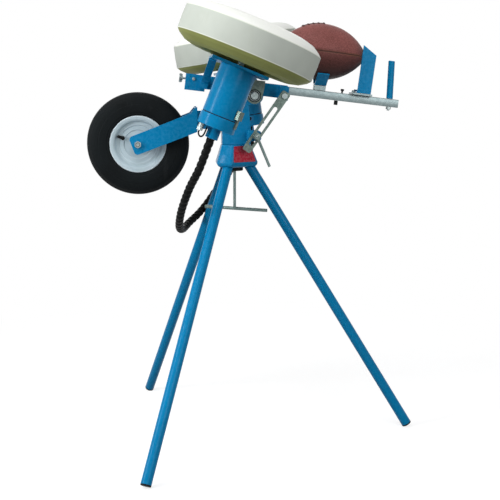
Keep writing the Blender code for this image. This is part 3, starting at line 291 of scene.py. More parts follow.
def makeEdgeWearAndHighlight():
    # lighter where the piece's own edge attribute is high: edge wear, and a painted highlight along the edges
    wearAndHighlight = {"Scale": 90.0, "Amount": 0.5, "detail": 3.0, "roughness": 0.6, "broken": (0.42, 0.62)}
    tree, given, out = startGroup("edgeWearAndHighlight", "Mask", wearAndHighlight)
    edge = addNode(tree, "ShaderNodeAttribute", attribute_name="edge")
    broken = noiseIn(tree, given.outputs["Vector"], given.outputs["Scale"], wearAndHighlight["detail"], wearAndHighlight["roughness"])
    wornAndHighlighted = mathIn(tree, "MULTIPLY", edge.outputs["Fac"], rangeIn(tree, broken, *wearAndHighlight["broken"]))
    link(mathIn(tree, "MULTIPLY", wornAndHighlighted, given.outputs["Amount"]), out.inputs["Mask"])
    return tree


groups = {
    "mottle": makeMottle(), "grain": makeGrain(), "scuffs": makeScuffs(), "edgeWearAndHighlight": makeEdgeWearAndHighlight(),
}


class Finish:
    # a material under construction. In its settings mottle and grain are scales, edge wear with its painted
    # highlight and scuffs are a scale and an amount, roughness is low and high, and bump is a depth and a
    # strength

    def __init__(self, name, settings):
        self.settings = settings
        self.material = bpy.data.materials.new(name)
        self.material.use_nodes = True
        self.tree = self.material.node_tree
        self.shader = self.tree.nodes["Principled BSDF"]
        self.coords = addNode(self.tree, "ShaderNodeTexCoord").outputs["Object"]

    def place(self, group, output, given):
        made = addNode(self.tree, "ShaderNodeGroup", given, node_tree=groups[group])
        link(self.coords, made.inputs["Vector"])
        return made.outputs[output]

    def tone(self):
        return self.place("mottle", "Value", {"Scale": self.settings["mottle"]})

    def wornAndHighlighted(self):
        scale, amount = self.settings["wearAndHighlight"]
        return self.place("edgeWearAndHighlight", "Mask", {"Scale": scale, "Amount": amount})

    def scuffed(self):
        scale, amount = self.settings["scuffs"]
        return self.place("scuffs", "Mask", {"Scale": scale, "Amount": amount})

    def texture(self, kind, output, given, **values):
        made = addNode(self.tree, kind, given, **values)
        link(self.coords, made.inputs["Vector"])
        return made.outputs[output]

    def attribute(self, name):
        return addNode(self.tree, "ShaderNodeAttribute", attribute_name=name).outputs["Fac"]

    def math(self, operation, first, second=0.0):
        return mathIn(self.tree, operation, first, second)

    def ranged(self, value, limits):
        return rangeIn(self.tree, value, *limits)

    def blend(self, factor, first, second):
        mix = addNode(self.tree, "ShaderNodeMix", data_type="RGBA")
        link(factor, mix.inputs["Factor"])
        for label, value in (("A", first), ("B", second)):
            socket = [s for s in mix.inputs if s.name == label and s.type == "RGBA"][0]
            if isinstance(value, tuple):
                socket.default_value = (*value, 1)
            else:
                link(value, socket)
        return [s for s in mix.outputs if s.type == "RGBA"][0]

    def coat(self, factor):
        # the main colour, from its deep to its bright tone
        return self.blend(factor, self.settings["deep"], self.settings["bright"])

    def finished(self, color, roughness, height=None):
        # without a height of its own the bump takes the grain
        if height is None:
            height = self.place("grain", "Height", {"Scale": self.settings["grain"]})
        depth, strength = self.settings["bump"]
        bump = addNode(self.tree, "ShaderNodeBump", {"Distance": depth, "Strength": strength})
        ranged = rangeIn(self.tree, roughness, 0, 1, *self.settings["roughness"])
        link(height, bump.inputs["Height"])
        link(bump.outputs["Normal"], self.shader.inputs["Normal"])
        link(color, self.shader.inputs["Base Color"])
        link(ranged, self.shader.inputs["Roughness"])
        setInputs(self.shader, {"Specular IOR Level": self.settings["specular"],
                                "Metallic": self.settings.get("metallic", 0.0)})
        return self.material


def shaded(color, share):
    return tuple(share * channel for channel in color)


def bluePaint():
    paint = {"deep": (0.0001, 0.168, 0.360), "bright": (0.0002, 0.194, 0.415), "chipAndHighlight": (0.05, 0.29, 0.55),
             "mottle": 3.0, "wearAndHighlight": (110.0, 0.45), "scuffs": (34.0, 0.08), "grain": 320.0,
             "roughness": (0.22, 0.30), "bump": (0.0001, 0.12), "specular": 0.07}
    made = Finish("bluePaint", paint)
    tone = made.tone()
    # marks: scuffs, and lighter blue on edges that is partly wear and partly a painted highlight
    marks = made.math("MAXIMUM", made.wornAndHighlighted(), made.scuffed())
    color = made.blend(marks, made.coat(tone), paint["chipAndHighlight"])
    return made.finished(color, made.math("MAXIMUM", tone, marks))


# the same plating: fresh on the rail and plates, dulled on the link, dark on the rods, bright on the bolts
plating = {"spangle": 260.0, "flakes": (0.1, 0.8), "mottle": 9.0, "wearAndHighlight": (120.0, 0.5), "grain": 700.0,
           "roughness": (0.38, 0.44), "bump": (0.0001, 0.3), "metallic": 0.75, "specular": 0.2}
zincTones = {
    "zincPlate": {"deep": (0.160, 0.204, 0.210), "bright": (0.188, 0.236, 0.242), "bareAndHighlight": (0.32, 0.38, 0.38)},
    "dullZinc": {"deep": (0.076, 0.108, 0.096), "bright": (0.104, 0.140, 0.124), "bareAndHighlight": (0.26, 0.32, 0.29)},
    "darkZinc": {"deep": (0.095, 0.140, 0.134), "bright": (0.130, 0.180, 0.174), "bareAndHighlight": (0.30, 0.36, 0.34)},
    "brightZinc": {"deep": (0.24, 0.29, 0.29), "bright": (0.31, 0.36, 0.36), "bareAndHighlight": (0.56, 0.62, 0.62)},
}


def zincFinish(name):
    plate = {**plating, **zincTones[name]}
    made = Finish(name, plate)
    spangle = made.texture("ShaderNodeTexVoronoi", "Distance", {"Scale": plate["spangle"]}, feature="F1")
    flakes = made.ranged(spangle, plate["flakes"])
    both = made.math("MULTIPLY", made.math("ADD", flakes, made.tone()), 0.5)
    # edges lighter: wear to bare zinc, and a painted highlight
    return made.finished(made.blend(made.wornAndHighlighted(), made.coat(both), plate["bareAndHighlight"]), both)


def paleTread():
    # the tread is pale grey between cream lines of painted highlight along its edges; the upper shoulder is
    # painted white as painted light, and the one beneath is painted olive as painted shade with a painted
    # green reflection
    tyre = {"tread": (0.480, 0.515, 0.465), "white": (0.80, 0.81, 0.77), "paintedShadeOlive": (0.250, 0.272, 0.088),
            "scrub": (0.420, 0.450, 0.385), "edge": (0.68, 0.71, 0.63), "treadShade": 0.9, "oliveShade": 0.86,
            "shoulder": (0.0345, 0.0362), "edgeHighlightAt": 0.0350, "edgeHighlightBand": (0.0018, 0.0008),
            "mottle": 9.0, "scuffs": (30.0, 0.35), "grain": 420.0,
            "roughness": (0.50, 0.66), "bump": (0.0003, 0.4), "specular": 0.12}
    made = Finish("paleTread", tyre)
    zone = made.attribute("height")
    tone = made.tone()
    clean = made.blend(tone, tyre["tread"], shaded(tyre["tread"], tyre["treadShade"]))
    tread = made.blend(made.scuffed(), clean, tyre["scrub"])
    # painted light: the upper shoulder painted white
    upper = made.blend(made.ranged(zone, tyre["shoulder"]), tread, tyre["white"])
    # painted shade: the lower shoulder painted olive, with a painted green reflection
    paintedShadeOlive = made.blend(tone, tyre["paintedShadeOlive"], shaded(tyre["paintedShadeOlive"], tyre["oliveShade"]))
    sides = made.blend(made.ranged(zone, [-at for at in tyre["shoulder"]]), upper, paintedShadeOlive)
    # painted highlight: a cream line along each edge of the tread
    fromMiddle = made.math("ABSOLUTE", zone)
    fromEdge = made.math("ABSOLUTE", made.math("SUBTRACT", fromMiddle, tyre["edgeHighlightAt"]))
    return made.finished(made.blend(made.ranged(fromEdge, tyre["edgeHighlightBand"]), sides, tyre["edge"]), tone)


def roadRubber():
    rubber = {"deep": (0.0035, 0.0045, 0.0050), "bright": (0.0065, 0.0085, 0.0095),
              "dust": (0.018, 0.020, 0.021), "mottle": 12.0, "scuffs": (26.0, 0.3), "grain": 500.0,
              "roughness": (0.48, 0.70), "bump": (0.0003, 0.5), "specular": 0.06}
    made = Finish("roadRubber", rubber)
    tone = made.tone()
    return made.finished(made.blend(made.scuffed(), made.coat(tone), rubber["dust"]), tone)


def paleEnamel():
    enamel = {"deep": (0.340, 0.430, 0.465), "bright": (0.430, 0.525, 0.575), "lip": (0.76, 0.83, 0.88),
              "grime": (0.24, 0.28, 0.29), "edgeHighlightFrom": (0.10, 0.45), "mottle": 8.0, "scuffs": (34.0, 0.2),
              "grain": 240.0, "roughness": (0.28, 0.42), "bump": (0.0002, 0.25), "specular": 0.2}
    made = Finish("paleEnamel", enamel)
    tone = made.tone()
    sheet = made.blend(made.scuffed(), made.coat(tone), enamel["grime"])
    # painted highlight: a pale ring along every edge of the enamel
    lip = made.ranged(made.attribute("edge"), enamel["edgeHighlightFrom"])
    return made.finished(made.blend(lip, sheet, enamel["lip"]), tone)


def blackPlastic():
    black = {"deep": (0.0035, 0.0040, 0.0040), "bright": (0.0085, 0.0090, 0.0090),
             "scuffAndHighlight": (0.05, 0.055, 0.055), "mottle": 30.0, "wearAndHighlight": (150.0, 0.5), "grain": 800.0,
             "roughness": (0.34, 0.52), "bump": (0.0002, 0.4), "specular": 0.05}
    made = Finish("blackPlastic", black)
    tone = made.tone()
    # edges lighter: wear, and a painted highlight
    return made.finished(made.blend(made.wornAndHighlighted(), made.coat(tone), black["scuffAndHighlight"]), tone)


def ballLeather():
    hide = {"deep": (0.215, 0.070, 0.062), "bright": (0.290, 0.096, 0.086), "crease": (0.014, 0.006, 0.005),
            "lipHighlight": (0.300, 0.165, 0.060), "paintedShadeColor": (0.016, 0.007, 0.006), "mottle": 11.0,
            "pebbleScale": 420.0, "pebbleSmooth": 0.35, "ground": (0.30, 0.62), "groundShare": 0.45,
            "lipRise": (0.02, 0.10), "lipFall": (0.42, 0.24), "lipHighlightShare": 0.6, "paintedShadeShare": 0.95,
            "roughness": (0.36, 0.58), "bump": (0.0006, 0.55), "specular": 0.14}
    made = Finish("ballLeather", hide)
    tone = made.tone()
    pebbles = {"Scale": hide["pebbleScale"], "Smoothness": hide["pebbleSmooth"]}
    pebble = made.texture("ShaderNodeTexVoronoi", "Distance", pebbles, feature="SMOOTH_F1")
    seam = made.attribute("seam")
    ground = made.ranged(pebble, hide["ground"])
    # dark where the grain and the seams are deep, and painted shade that darkens the ball towards the bottom
    # and the tips
    dark = made.math("MAXIMUM", made.math("MULTIPLY", ground, hide["groundShare"]), seam)
    # painted highlight: a yellowish band along both lips of each seam
    lips = made.math("MULTIPLY", made.ranged(seam, hide["lipRise"]), made.ranged(seam, hide["lipFall"]))
    lipHighlighted = made.blend(made.math("MULTIPLY", lips, hide["lipHighlightShare"]), made.coat(tone), hide["lipHighlight"])
    paintedShade = made.math("MULTIPLY", made.attribute("paintedShade"), hide["paintedShadeShare"])
    color = made.blend(dark, made.blend(paintedShade, lipHighlighted, hide["paintedShadeColor"]), hide["crease"])
    return made.finished(color, made.math("MAXIMUM", tone, ground), made.math("MULTIPLY", pebble, -1.0))


def laceCotton():
    cotton = {"deep": (0.060, 0.034, 0.032), "bright": (0.130, 0.082, 0.078), "scale": 420.0,
              "distortion": 1.5, "roughness": (0.7, 0.9), "bump": (0.0003, 0.6), "specular": 0.15}
    made = Finish("laceCotton", cotton)
    threads = {"Scale": cotton["scale"], "Distortion": cotton["distortion"]}
    weave = made.texture("ShaderNodeTexWave", "Fac", threads, bands_direction="DIAGONAL")
    return made.finished(made.coat(weave), weave, weave)


def redPlate():
    red = {"deep": (0.40, 0.008, 0.030), "bright": (0.47, 0.012, 0.040), "scratchAndHighlight": (0.55, 0.16, 0.18),
           "mottle": 14.0, "scuffs": (120.0, 0.02), "wearAndHighlight": (160.0, 0.8), "grain": 380.0,
           "roughness": (0.25, 0.38), "bump": (0.0001, 0.3), "specular": 0.15}
    made = Finish("redPlate", red)
    tone = made.tone()
    # marks: scratches, and edges lighter from wear and a painted highlight
    marks = made.math("MAXIMUM", made.scuffed(), made.wornAndHighlighted())
    return made.finished(made.blend(marks, made.coat(tone), red["scratchAndHighlight"]), tone)


zincs = {name: zincFinish(name) for name in zincTones}
materials = {
    "blue": bluePaint(), "zinc": zincs["zincPlate"], "cream": paleTread(), "tyre": roadRubber(),
    "white": paleEnamel(), "black": blackPlastic(), "leather": ballLeather(), "red": redPlate(),
}
platedNodes = {
    "dullZinc": ["slotted_link", "pivot_saddle", "terminal_box"],
    "darkZinc": ["lock_tee", "clamp_lever", "near_spindle", "far_spindle"],
    "brightZinc": ["axle_bolt", "axle_nut", "pivot_bolt", "pivot_nut", "shoe_bolt", "handle_nut", "link_pin",
                   "clamp_stud", "cable_gland"],
}
finishOf = {node: zincs[name] for name, members in platedNodes.items() for node in members}
laceMaterial = laceCotton()
slotOf = {entry["node"]: entry["material_slot"] for entry in frame["record"]["subparts"]}
bodies = frame["record"]["behaviour"]["bodies"]
bodyOf = {node: body for body, members in bodies.items() for node in members}
print("materials made")


# pieces
def addPiece(name, mesh, body, slot, replaced=()):
    made = bpy.data.objects.new(name, mesh)
    scene.collection.objects.link(made)
    if not mesh.materials:
        mesh.materials.append(materials[slot])
    if body:
        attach(made, body)
    if replaced:
        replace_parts(made, *replaced)
    return made


def markEdges(mesh, reach=0.75):
    # how far each point stands proud of its neighbours, for the wear and the painted highlights along edges;
    # reach is in radians
    work = bmesh.new()
    work.from_mesh(mesh)
    values = []
    for vertex in work.verts:
        sharpest = max((edge.calc_face_angle_signed(0.0) for edge in vertex.link_edges), default=0.0)
        values.append(max(0.0, min(1.0, sharpest / reach)))
    work.free()
    attribute = mesh.attributes.get("edge") or mesh.attributes.new("edge", "FLOAT", "POINT")
    attribute.data.foreach_set("value", values)


def bakedMesh(made):
    # the object's evaluated shape as one plain mesh, and the object itself removed
    graph = bpy.context.evaluated_depsgraph_get()
    mesh = bpy.data.meshes.new_from_object(made.evaluated_get(graph))
    bpy.data.objects.remove(made)
    return mesh


# every rigid piece that keeps its outline gets soft edges
skin = {"width": 0.0009, "segments": 2, "sharpAngle": 28.0, "roundAngle": 35.0, "flatAngle": 0.6}


def smoothed(mesh):
    mesh.shade_smooth()
    mesh.set_sharp_from_angle(angle=math.radians(skin["roundAngle"]))


def addSkin(node):
    mesh = nodes[node].data.copy()
    mesh.materials.clear()
    work = bmesh.new()
    work.from_mesh(mesh)
    flat = math.radians(skin["flatAngle"])
    bmesh.ops.remove_doubles(work, verts=work.verts, dist=tiny)
    bmesh.ops.dissolve_limit(work, angle_limit=flat, verts=work.verts, edges=work.edges)
    work.to_mesh(mesh)
    work.free()
    mesh.materials.append(finishOf.get(node, materials[slotOf[node]]))
    made = bpy.data.objects.new(node + "Skin", mesh)
    scene.collection.objects.link(made)
    soften = made.modifiers.new("softEdges", "BEVEL")
    soften.width = skin["width"]
    soften.segments = skin["segments"]
    soften.limit_method = "ANGLE"
    soften.angle_limit = math.radians(skin["sharpAngle"])
    soften.harden_normals = True
    smoothed(mesh)
    mesh = bakedMesh(made)
    markEdges(mesh)
    addPiece(node + "Skin", mesh, bodyOf[node], slotOf[node], [node])


# limits for half of a corner's opening in degrees, and how much of its shorter side an arc may take
corners = {"flattest": 88, "sharpest": 4, "reach": 0.45}


def filleted(outline, radius, steps, closed):
    # the outline with each corner turned into an arc
    count = len(outline)
    found = []
    for i, here in enumerate(outline):
        corner = Vector(here)
        if not closed and i in (0, count - 1):
            found.append(tuple(corner))
            continue
        before = Vector(outline[i - 1]) - corner
        after = Vector(outline[(i + 1) % count]) - corner
        reach = min(before.length, after.length) * corners["reach"]
        before.normalize()
        after.normalize()
        opening = math.acos(max(-1.0, min(1.0, before.dot(after)))) / 2
        if not math.radians(corners["sharpest"]) <= opening <= math.radians(corners["flattest"]):
            found.append(tuple(corner))
            continue
        cut = min(radius / math.tan(opening), reach)
        first = corner + before * cut
        last = corner + after * cut
        for step in range(steps + 1):
            share = step / steps
            point = first * (1 - share) ** 2 + corner * 2 * share * (1 - share) + last * share ** 2
            found.append(tuple(point))
    return found


def mirrored(lower):
    return list(lower) + [(radius, -height) for radius, height in reversed(lower) if height < -tiny]


def inset(half, points, radius=0.0):
    # outline points from (radius, distance in from the side), the radii measured from the one given
    return [(radius + outwards, -half + inwards) for outwards, inwards in points]


def bridgeRings(work, rings, sides, closed=False):
    # faces from ring to ring, where a ring may be a single point
    pairs = list(zip(rings, rings[1:]))
    if closed and len(rings[0]) > 1:
        pairs.append((rings[-1], rings[0]))
    for lower, upper in pairs:
        for k in range(sides):
            n = (k + 1) % sides
            places = ((lower, k), (lower, n), (upper, n), (upper, k))
            loop = [ring[at % len(ring)] for ring, at in places]
            loop = [vertex for i, vertex in enumerate(loop) if vertex is not loop[i - 1]]
            if len(loop) > 2:
                work.faces.new(loop)
    bmesh.ops.recalc_face_normals(work, faces=work.faces)


def turnedMesh(name, outline, place, sides, closed):
    # an outline of (radius, height) turned about the frame's Z, with its height kept as an attribute
    work = bmesh.new()
    rings = []
    for radius, height in outline:
        if radius < tiny:
            rings.append([work.verts.new((0, 0, height))])
            continue
        angles = [2 * math.pi * k / sides for k in range(sides)]
        rings.append([work.verts.new((radius * math.cos(a), radius * math.sin(a), height)) for a in angles])
    bridgeRings(work, rings, sides, closed)
    mesh = bpy.data.meshes.new(name)
    work.to_mesh(mesh)
    work.free()
    heights = mesh.attributes.new("height", "FLOAT", "POINT")
    heights.data.foreach_set("value", [vertex.co.z for vertex in mesh.vertices])
    smoothed(mesh)
    markEdges(mesh)
    mesh.transform(place)
    return mesh


def addTurned(name, outline, place, body, slot, replaced=(), rounding=0.0, steps=3, sides=96, closed=True):
    # a turned piece, its corners rounded where a rounding is given
    if rounding:
        outline = filleted(outline, rounding, steps, closed)
    return addPiece(name, turnedMesh(name, outline, place, sides, closed), body, slot, replaced)


# throwing wheels: tyre, disc and barrel
tyre = {"radius": 0.2068, "halfWidth": 0.064, "treadHalf": 0.035, "flange": 0.115, "rimHalf": 0.0485,
        "seat": 0.0985, "bead": 0.0034, "rounding": 0.0035, "sides": 128,
        "wall": [(0.116, 0.008), (0.126, 0.0025), (0.150, 0.0), (0.1758, 0.0065)],
        "treadEdge": [(-0.011, -0.010), (-0.001, 0.0)]}
rim = {"bore": 0.0098, "hub": 0.030, "hubHalf": 0.034, "discHalf": 0.004, "barrel": 0.094,
       "hubFoot": 0.006, "lip": 0.003, "rounding": 0.0012}
for side, place in wheelFrames.items():
    body = side + "_throwing_wheel"
    seats = [(tyre["seat"] + pieceGap, tyre["bead"]), (tyre["flange"] + pieceGap, tyre["bead"])]
    outline = inset(tyre["rimHalf"], seats) + inset(tyre["halfWidth"], tyre["wall"])
    outline += inset(tyre["treadHalf"], tyre["treadEdge"], tyre["radius"]) + [(tyre["radius"], 0.0)]
    addTurned(side + "ThrowingTyre", mirrored(outline), place, body, "cream", [side + "_wheel_tyre"],
              tyre["rounding"], sides=tyre["sides"])
    outline = [
        (rim["bore"], -rim["hubHalf"]), (rim["hub"], -rim["hubHalf"]),
        (rim["hub"], -rim["discHalf"] - rim["hubFoot"]), (rim["hub"] + rim["hubFoot"], -rim["discHalf"]),
        (rim["barrel"] - pieceGap, -rim["discHalf"]),
    ]
    addTurned(side + "ThrowingDisc", mirrored(outline), place, body, "white", [side + "_wheel_disc"],
              rim["rounding"])
    outline = mirrored(inset(tyre["rimHalf"], [
        (rim["barrel"], 0.0), (tyre["flange"], 0.0), (tyre["flange"], rim["lip"]), (tyre["seat"], rim["lip"]),
    ]))
    addTurned(side + "ThrowingRim", outline, place, body, "white", [side + "_wheel_rim"], rim["rounding"])
print("throwing wheels made")


# motors: the barrel, a dark seam in its groove and the cap with its boss
motor = {"radius": 0.054, "top": 0.0783, "bottom": 0.2245, "capRadius": 0.056, "capBottom": 0.260,
         "bossRadius": 0.019, "bossBottom": 0.292, "groove": 0.0015, "grooveHeight": 0.0022,
         "seamSunk": 0.001, "seamClear": 0.0001, "seamBack": 0.0004, "rounding": 0.0012,
         "capRounding": 0.0022, "capSteps": 4}
for side, place in wheelFrames.items():
    grooveRadius = motor["radius"] - motor["groove"]
    grooveTop = -motor["bottom"] + motor["grooveHeight"]
    outline = [
        (0, -motor["bottom"]), (grooveRadius, -motor["bottom"]), (grooveRadius, grooveTop),
        (motor["radius"], grooveTop), (motor["radius"], -motor["top"]), (0, -motor["top"]),
    ]
    addTurned(side + "MotorBarrel", outline, place, "head", "blue", [side + "_motor"], motor["rounding"],
              closed=False)
    seamInner = grooveRadius - motor["seamSunk"]
    seamOuter = motor["radius"] - motor["seamBack"]
    seamLow = -motor["bottom"] + motor["seamClear"]
    seamHigh = grooveTop - motor["seamClear"]
    seam = [(seamInner, seamLow), (seamOuter, seamLow), (seamOuter, seamHigh), (seamInner, seamHigh)]
    addTurned(side + "MotorSeam", seam, place, "head", "black")
    capTop = -motor["bottom"] - pieceGap
    outline = [
        (0, -motor["bossBottom"]), (motor["bossRadius"], -motor["bossBottom"]),
        (motor["bossRadius"], -motor["capBottom"]), (motor["capRadius"], -motor["capBottom"]),
        (motor["capRadius"], capTop), (0, capTop),
    ]
    addTurned(side + "MotorCap", outline, place, "head", "blue", [side + "_motor_cap"], motor["capRounding"],
              motor["capSteps"], closed=False)
print("motors made")


# transport wheel: a ribbed tyre and a dished rim
tyre = {"radius": 0.1585, "halfWidth": 0.0455, "rimRadius": 0.0875, "seat": 0.0755, "flangeHalf": 0.0425,
        "bead": 0.0084, "lip": 0.0044, "lipOut": 0.0005, "rounding": 0.0010, "steps": 2, "sides": 112,
        "wall": [(0.0935, 0.0012), (0.0960, 0.0016), (0.0985, 0.0002), (0.104, 0.0), (0.1205, 0.0),
                 (0.1225, 0.0011), (0.1245, 0.0008), (0.1345, 0.0032)],
        "shoulder": [(-0.014, 0.007), (-0.0045, 0.020)], "grooves": (-0.0205, -0.0075),
        "grooveHalf": 0.0024, "grooveFloorHalf": 0.0016, "grooveDepth": 0.0042,
        "crownDrop": 0.0006, "crownBend": 10, "crownFrom": 0.005}
rim = {"bore": 0.0083, "hub": 0.0195, "hubHalf": 0.0575, "rounding": 0.0016,
       "dish": [(0.0195, 0.0130), (0.0260, 0.0136), (0.0420, 0.0140), (0.0450, 0.0120), (0.0560, 0.0122),
                (0.0590, 0.0102), (0.0675, 0.0102)],
       "well": [(-0.0025, 0.0030), (0.0005, 0.0016)], "lip": [(-0.002, 0.0), (0.0, 0.0012), (0.0, 0.004)],
       "seat": [(0.0, 0.008)]}
seats = [(tyre["seat"] + pieceGap, tyre["bead"]), (tyre["rimRadius"] + pieceGap, tyre["lip"]),
         (tyre["rimRadius"] + tyre["lipOut"], 0.0)]
outline = inset(tyre["flangeHalf"], seats) + inset(tyre["halfWidth"], tyre["wall"])
outline += inset(tyre["halfWidth"], tyre["shoulder"], tyre["radius"])
for groove in tyre["grooves"]:  # on one side of the middle, and mirrored to the other
    top = tyre["radius"] - tyre["crownDrop"] - tyre["crownBend"] * (groove + tyre["crownFrom"]) ** 2
    bottom = top - tyre["grooveDepth"]
    outline += [(top, groove - tyre["grooveHalf"]), (bottom, groove - tyre["grooveFloorHalf"]),
                (bottom, groove + tyre["grooveFloorHalf"]), (top, groove + tyre["grooveHalf"])]
outline = mirrored(outline + [(tyre["radius"], 0.0)])
addTurned("roadTyre", outline, transportFrame, "transport_wheel", "tyre", ["transport_tyre"],
          tyre["rounding"], tyre["steps"], tyre["sides"])
outline = [(rim["bore"], -rim["hubHalf"]), (rim["hub"], -rim["hubHalf"])]
outline += inset(tyre["flangeHalf"], rim["dish"])
for part, radius in (("well", tyre["seat"]), ("lip", tyre["rimRadius"]), ("seat", tyre["seat"])):
    outline += inset(tyre["flangeHalf"], rim[part], radius)
addTurned("roadRim", mirrored(outline), transportFrame, "transport_wheel", "white", ["transport_rim"],
          rim["rounding"])
print("transport wheel made")


# football
# the last four settings paint shade beneath the ball and darken its tips
ball = {"along": 0.195, "above": 0.1595, "halfLength": 0.143, "radius": 0.086, "seamDepth": 0.0016,
        "seamHalf": 0.0036, "seamFade": 0.02, "rings": 96, "sides": 160, "tip": 0.0008,
        "paintedShadeFrom": 0.10, "paintedNoseShade": 0.7, "noseShadeFrom": 0.70, "noseShadeSpan": 0.26}
ballFrame = headFrame @ Matrix.Translation((ball["along"], 0, ball["above"]))


def ballRadius(x):
    # an arc from tip to tip
    swing = (ball["halfLength"] ** 2 + ball["radius"] ** 2) / (2 * ball["radius"])
    return max(0.0, math.sqrt(swing ** 2 - x ** 2) - (swing - ball["radius"]))


def makeBall():
    work = bmesh.new()
    seamLayer = work.verts.layers.float.new("seam")
    paintedShadeLayer = work.verts.layers.float.new("paintedShade")
    rings = []
    for i in range(ball["rings"] + 1):
        x = -ball["halfLength"] * math.cos(math.pi * i / ball["rings"])
        radius = ballRadius(x)
        if radius < ball["tip"]:
            rings.append([work.verts.new((x, 0, 0))])
            continue
        # painted shade that darkens the tips
        fromNose = (abs(x) / ball["halfLength"] - ball["noseShadeFrom"]) / ball["noseShadeSpan"]
        paintedNoseShade = ball["paintedNoseShade"] * min(1.0, max(0.0, fromNose))
        ring = []
        for k in range(ball["sides"]):
            angle = 2 * math.pi * k / ball["sides"]
            # four seams, a quarter turn apart
            fromSeam = abs((angle + math.pi / 4) % (math.pi / 2) - math.pi / 4) * radius
            dip = max(0.0, 1 - fromSeam / ball["seamHalf"]) ** 2
            dip *= min(1.0, radius / ball["seamFade"])
            reach = radius - ball["seamDepth"] * dip
            vertex = work.verts.new((x, reach * math.sin(angle), reach * math.cos(angle)))
            vertex[seamLayer] = dip
            # painted shade, darker towards the bottom
            shadeBeneath = min(1.0, max(0.0, ball["paintedShadeFrom"] - math.cos(angle)) ** 0.5)
            vertex[paintedShadeLayer] = max(shadeBeneath, paintedNoseShade)
            ring.append(vertex)
        rings.append(ring)
    bridgeRings(work, rings, ball["sides"])
    mesh = bpy.data.meshes.new("ballHide")
    work.to_mesh(mesh)
    work.free()
    mesh.shade_smooth()
    mesh.transform(ballFrame)
    return mesh


ballHide = addPiece("ballHide", makeBall(), "football", "leather", ["football"])
print("football made")


# harness: the route of part.py, in the machine's own frame
def smoothRoute(points, perSpan):
    # a smooth curve through the points, after Catmull and Rom
    ends = [2 * points[0] - points[1]] + points + [2 * points[-1] - points[-2]]
    found = []
    for i in range(1, len(ends) - 2):
        a, b, c, d = ends[i - 1:i + 3]
        for k in range(perSpan):
            t = k / perSpan
            bend = (2 * a - 5 * b + 4 * c - d) * t ** 2 + (3 * b - a - 3 * c + d) * t ** 3
            found.append(0.5 * (2 * b + (c - a) * t + bend))
    found.append(points[-1].copy())
    return found


def routeLengthOf(route):
    return sum((b - a).length for a, b in zip(route, route[1:]))


harness = {"radius": 0.0125, "relief": 0.0024, "pitch": 0.0200, "rings": 1100, "sides": 24, "sharpness": 2.6,
           "straight": (0, 0.010, 0.028), "perSpan": 6}
middlePoints = [
    (-0.120, -0.248, 0.876), (-0.147, -0.195, 0.816), (-0.168, -0.135, 0.750), (-0.176, -0.080, 0.702),
    (-0.174, -0.020, 0.672), (-0.162, 0.035, 0.664), (-0.143, 0.085, 0.676), (-0.113, 0.125, 0.698),
    (-0.088, 0.154, 0.722), (-0.061, 0.176, 0.756), (-0.025, 0.202, 0.803), (0.017, 0.235, 0.851),
    (0.061, 0.266, 0.886),
]
bossDepth = -motor["bossBottom"] - pieceGap
fromBoss = [Vector((0, 0, bossDepth - below)) for below in harness["straight"]]
startPoints = [wheelFrames["near"] @ point for point in fromBoss]
endPoints = [wheelFrames["far"] @ point for point in reversed(fromBoss)]
routePoints = startPoints + [Vector(point) + machineOrigin for point in middlePoints] + endPoints
harnessRoute = smoothRoute(routePoints, harness["perSpan"])
routeLength = routeLengthOf(harnessRoute)
print("harness route", round(routeLength, 4), "m")

socketKinds = ((int, "Int"), (float, "Float"), (bpy.types.Material, "Material"))


def startTree(name, values):
    # a tree with an input for each of the values, and the inputs' identifiers by label
    tree = bpy.data.node_groups.new(name, "GeometryNodeTree")
    tree.interface.new_socket("Geometry", in_out="INPUT", socket_type="NodeSocketGeometry")
    tree.interface.new_socket("Geometry", in_out="OUTPUT", socket_type="NodeSocketGeometry")
    identifiers = {}
    for label, value in values.items():
        kind = "NodeSocket" + next(kind for sort, kind in socketKinds if isinstance(value, sort))
        identifiers[label] = tree.interface.new_socket(label, in_out="INPUT", socket_type=kind).identifier
    return tree, identifiers, tree.nodes.new("NodeGroupInput"), tree.nodes.new("NodeGroupOutput")


def endTree(tree, geometry, given, out):
    realize = addNode(tree, "GeometryNodeRealizeInstances")
    paint = addNode(tree, "GeometryNodeSetMaterial")
    link(geometry, realize.inputs["Geometry"])
    link(realize.outputs["Geometry"], paint.inputs["Geometry"])
    link(given.outputs["Material"], paint.inputs["Material"])
    link(paint.outputs["Geometry"], out.inputs["Geometry"])


def runTree(name, curve, makeTree, values):
    # the tree's result on the curve, as one plain mesh
    made = bpy.data.objects.new(name, curve)
    scene.collection.objects.link(made)
    tree, identifiers = makeTree(values)
    modifier = made.modifiers.new(name, "NODES")
    modifier.node_group = tree
    for label, value in values.items():
        modifier[identifiers[label]] = value
    mesh = bakedMesh(made)
    mesh.shade_smooth()
    return mesh


def addCircle(tree, radius, sides):
    circle = addNode(tree, "GeometryNodeCurvePrimitiveCircle", {"Resolution": sides})
    link(radius, circle.inputs["Radius"])
    return circle.outputs["Curve"]


def addTube(tree, curve, profile):
    tube = addNode(tree, "GeometryNodeCurveToMesh", {"Fill Caps": True})
    link(curve, tube.inputs["Curve"])
    link(profile, tube.inputs["Profile Curve"])
    return tube.outputs["Mesh"]


def keepShare(tree, name, curve):
    # the curve, and each point's share of its length kept as a value
    keep = addNode(tree, "GeometryNodeCaptureAttribute", domain="POINT")
    keep.capture_items.new("FLOAT", name)
    link(curve, keep.inputs["Geometry"])
    link(addNode(tree, "GeometryNodeSplineParameter").outputs["Factor"], keep.inputs[name])
    return keep.outputs["Geometry"], keep.outputs[name]


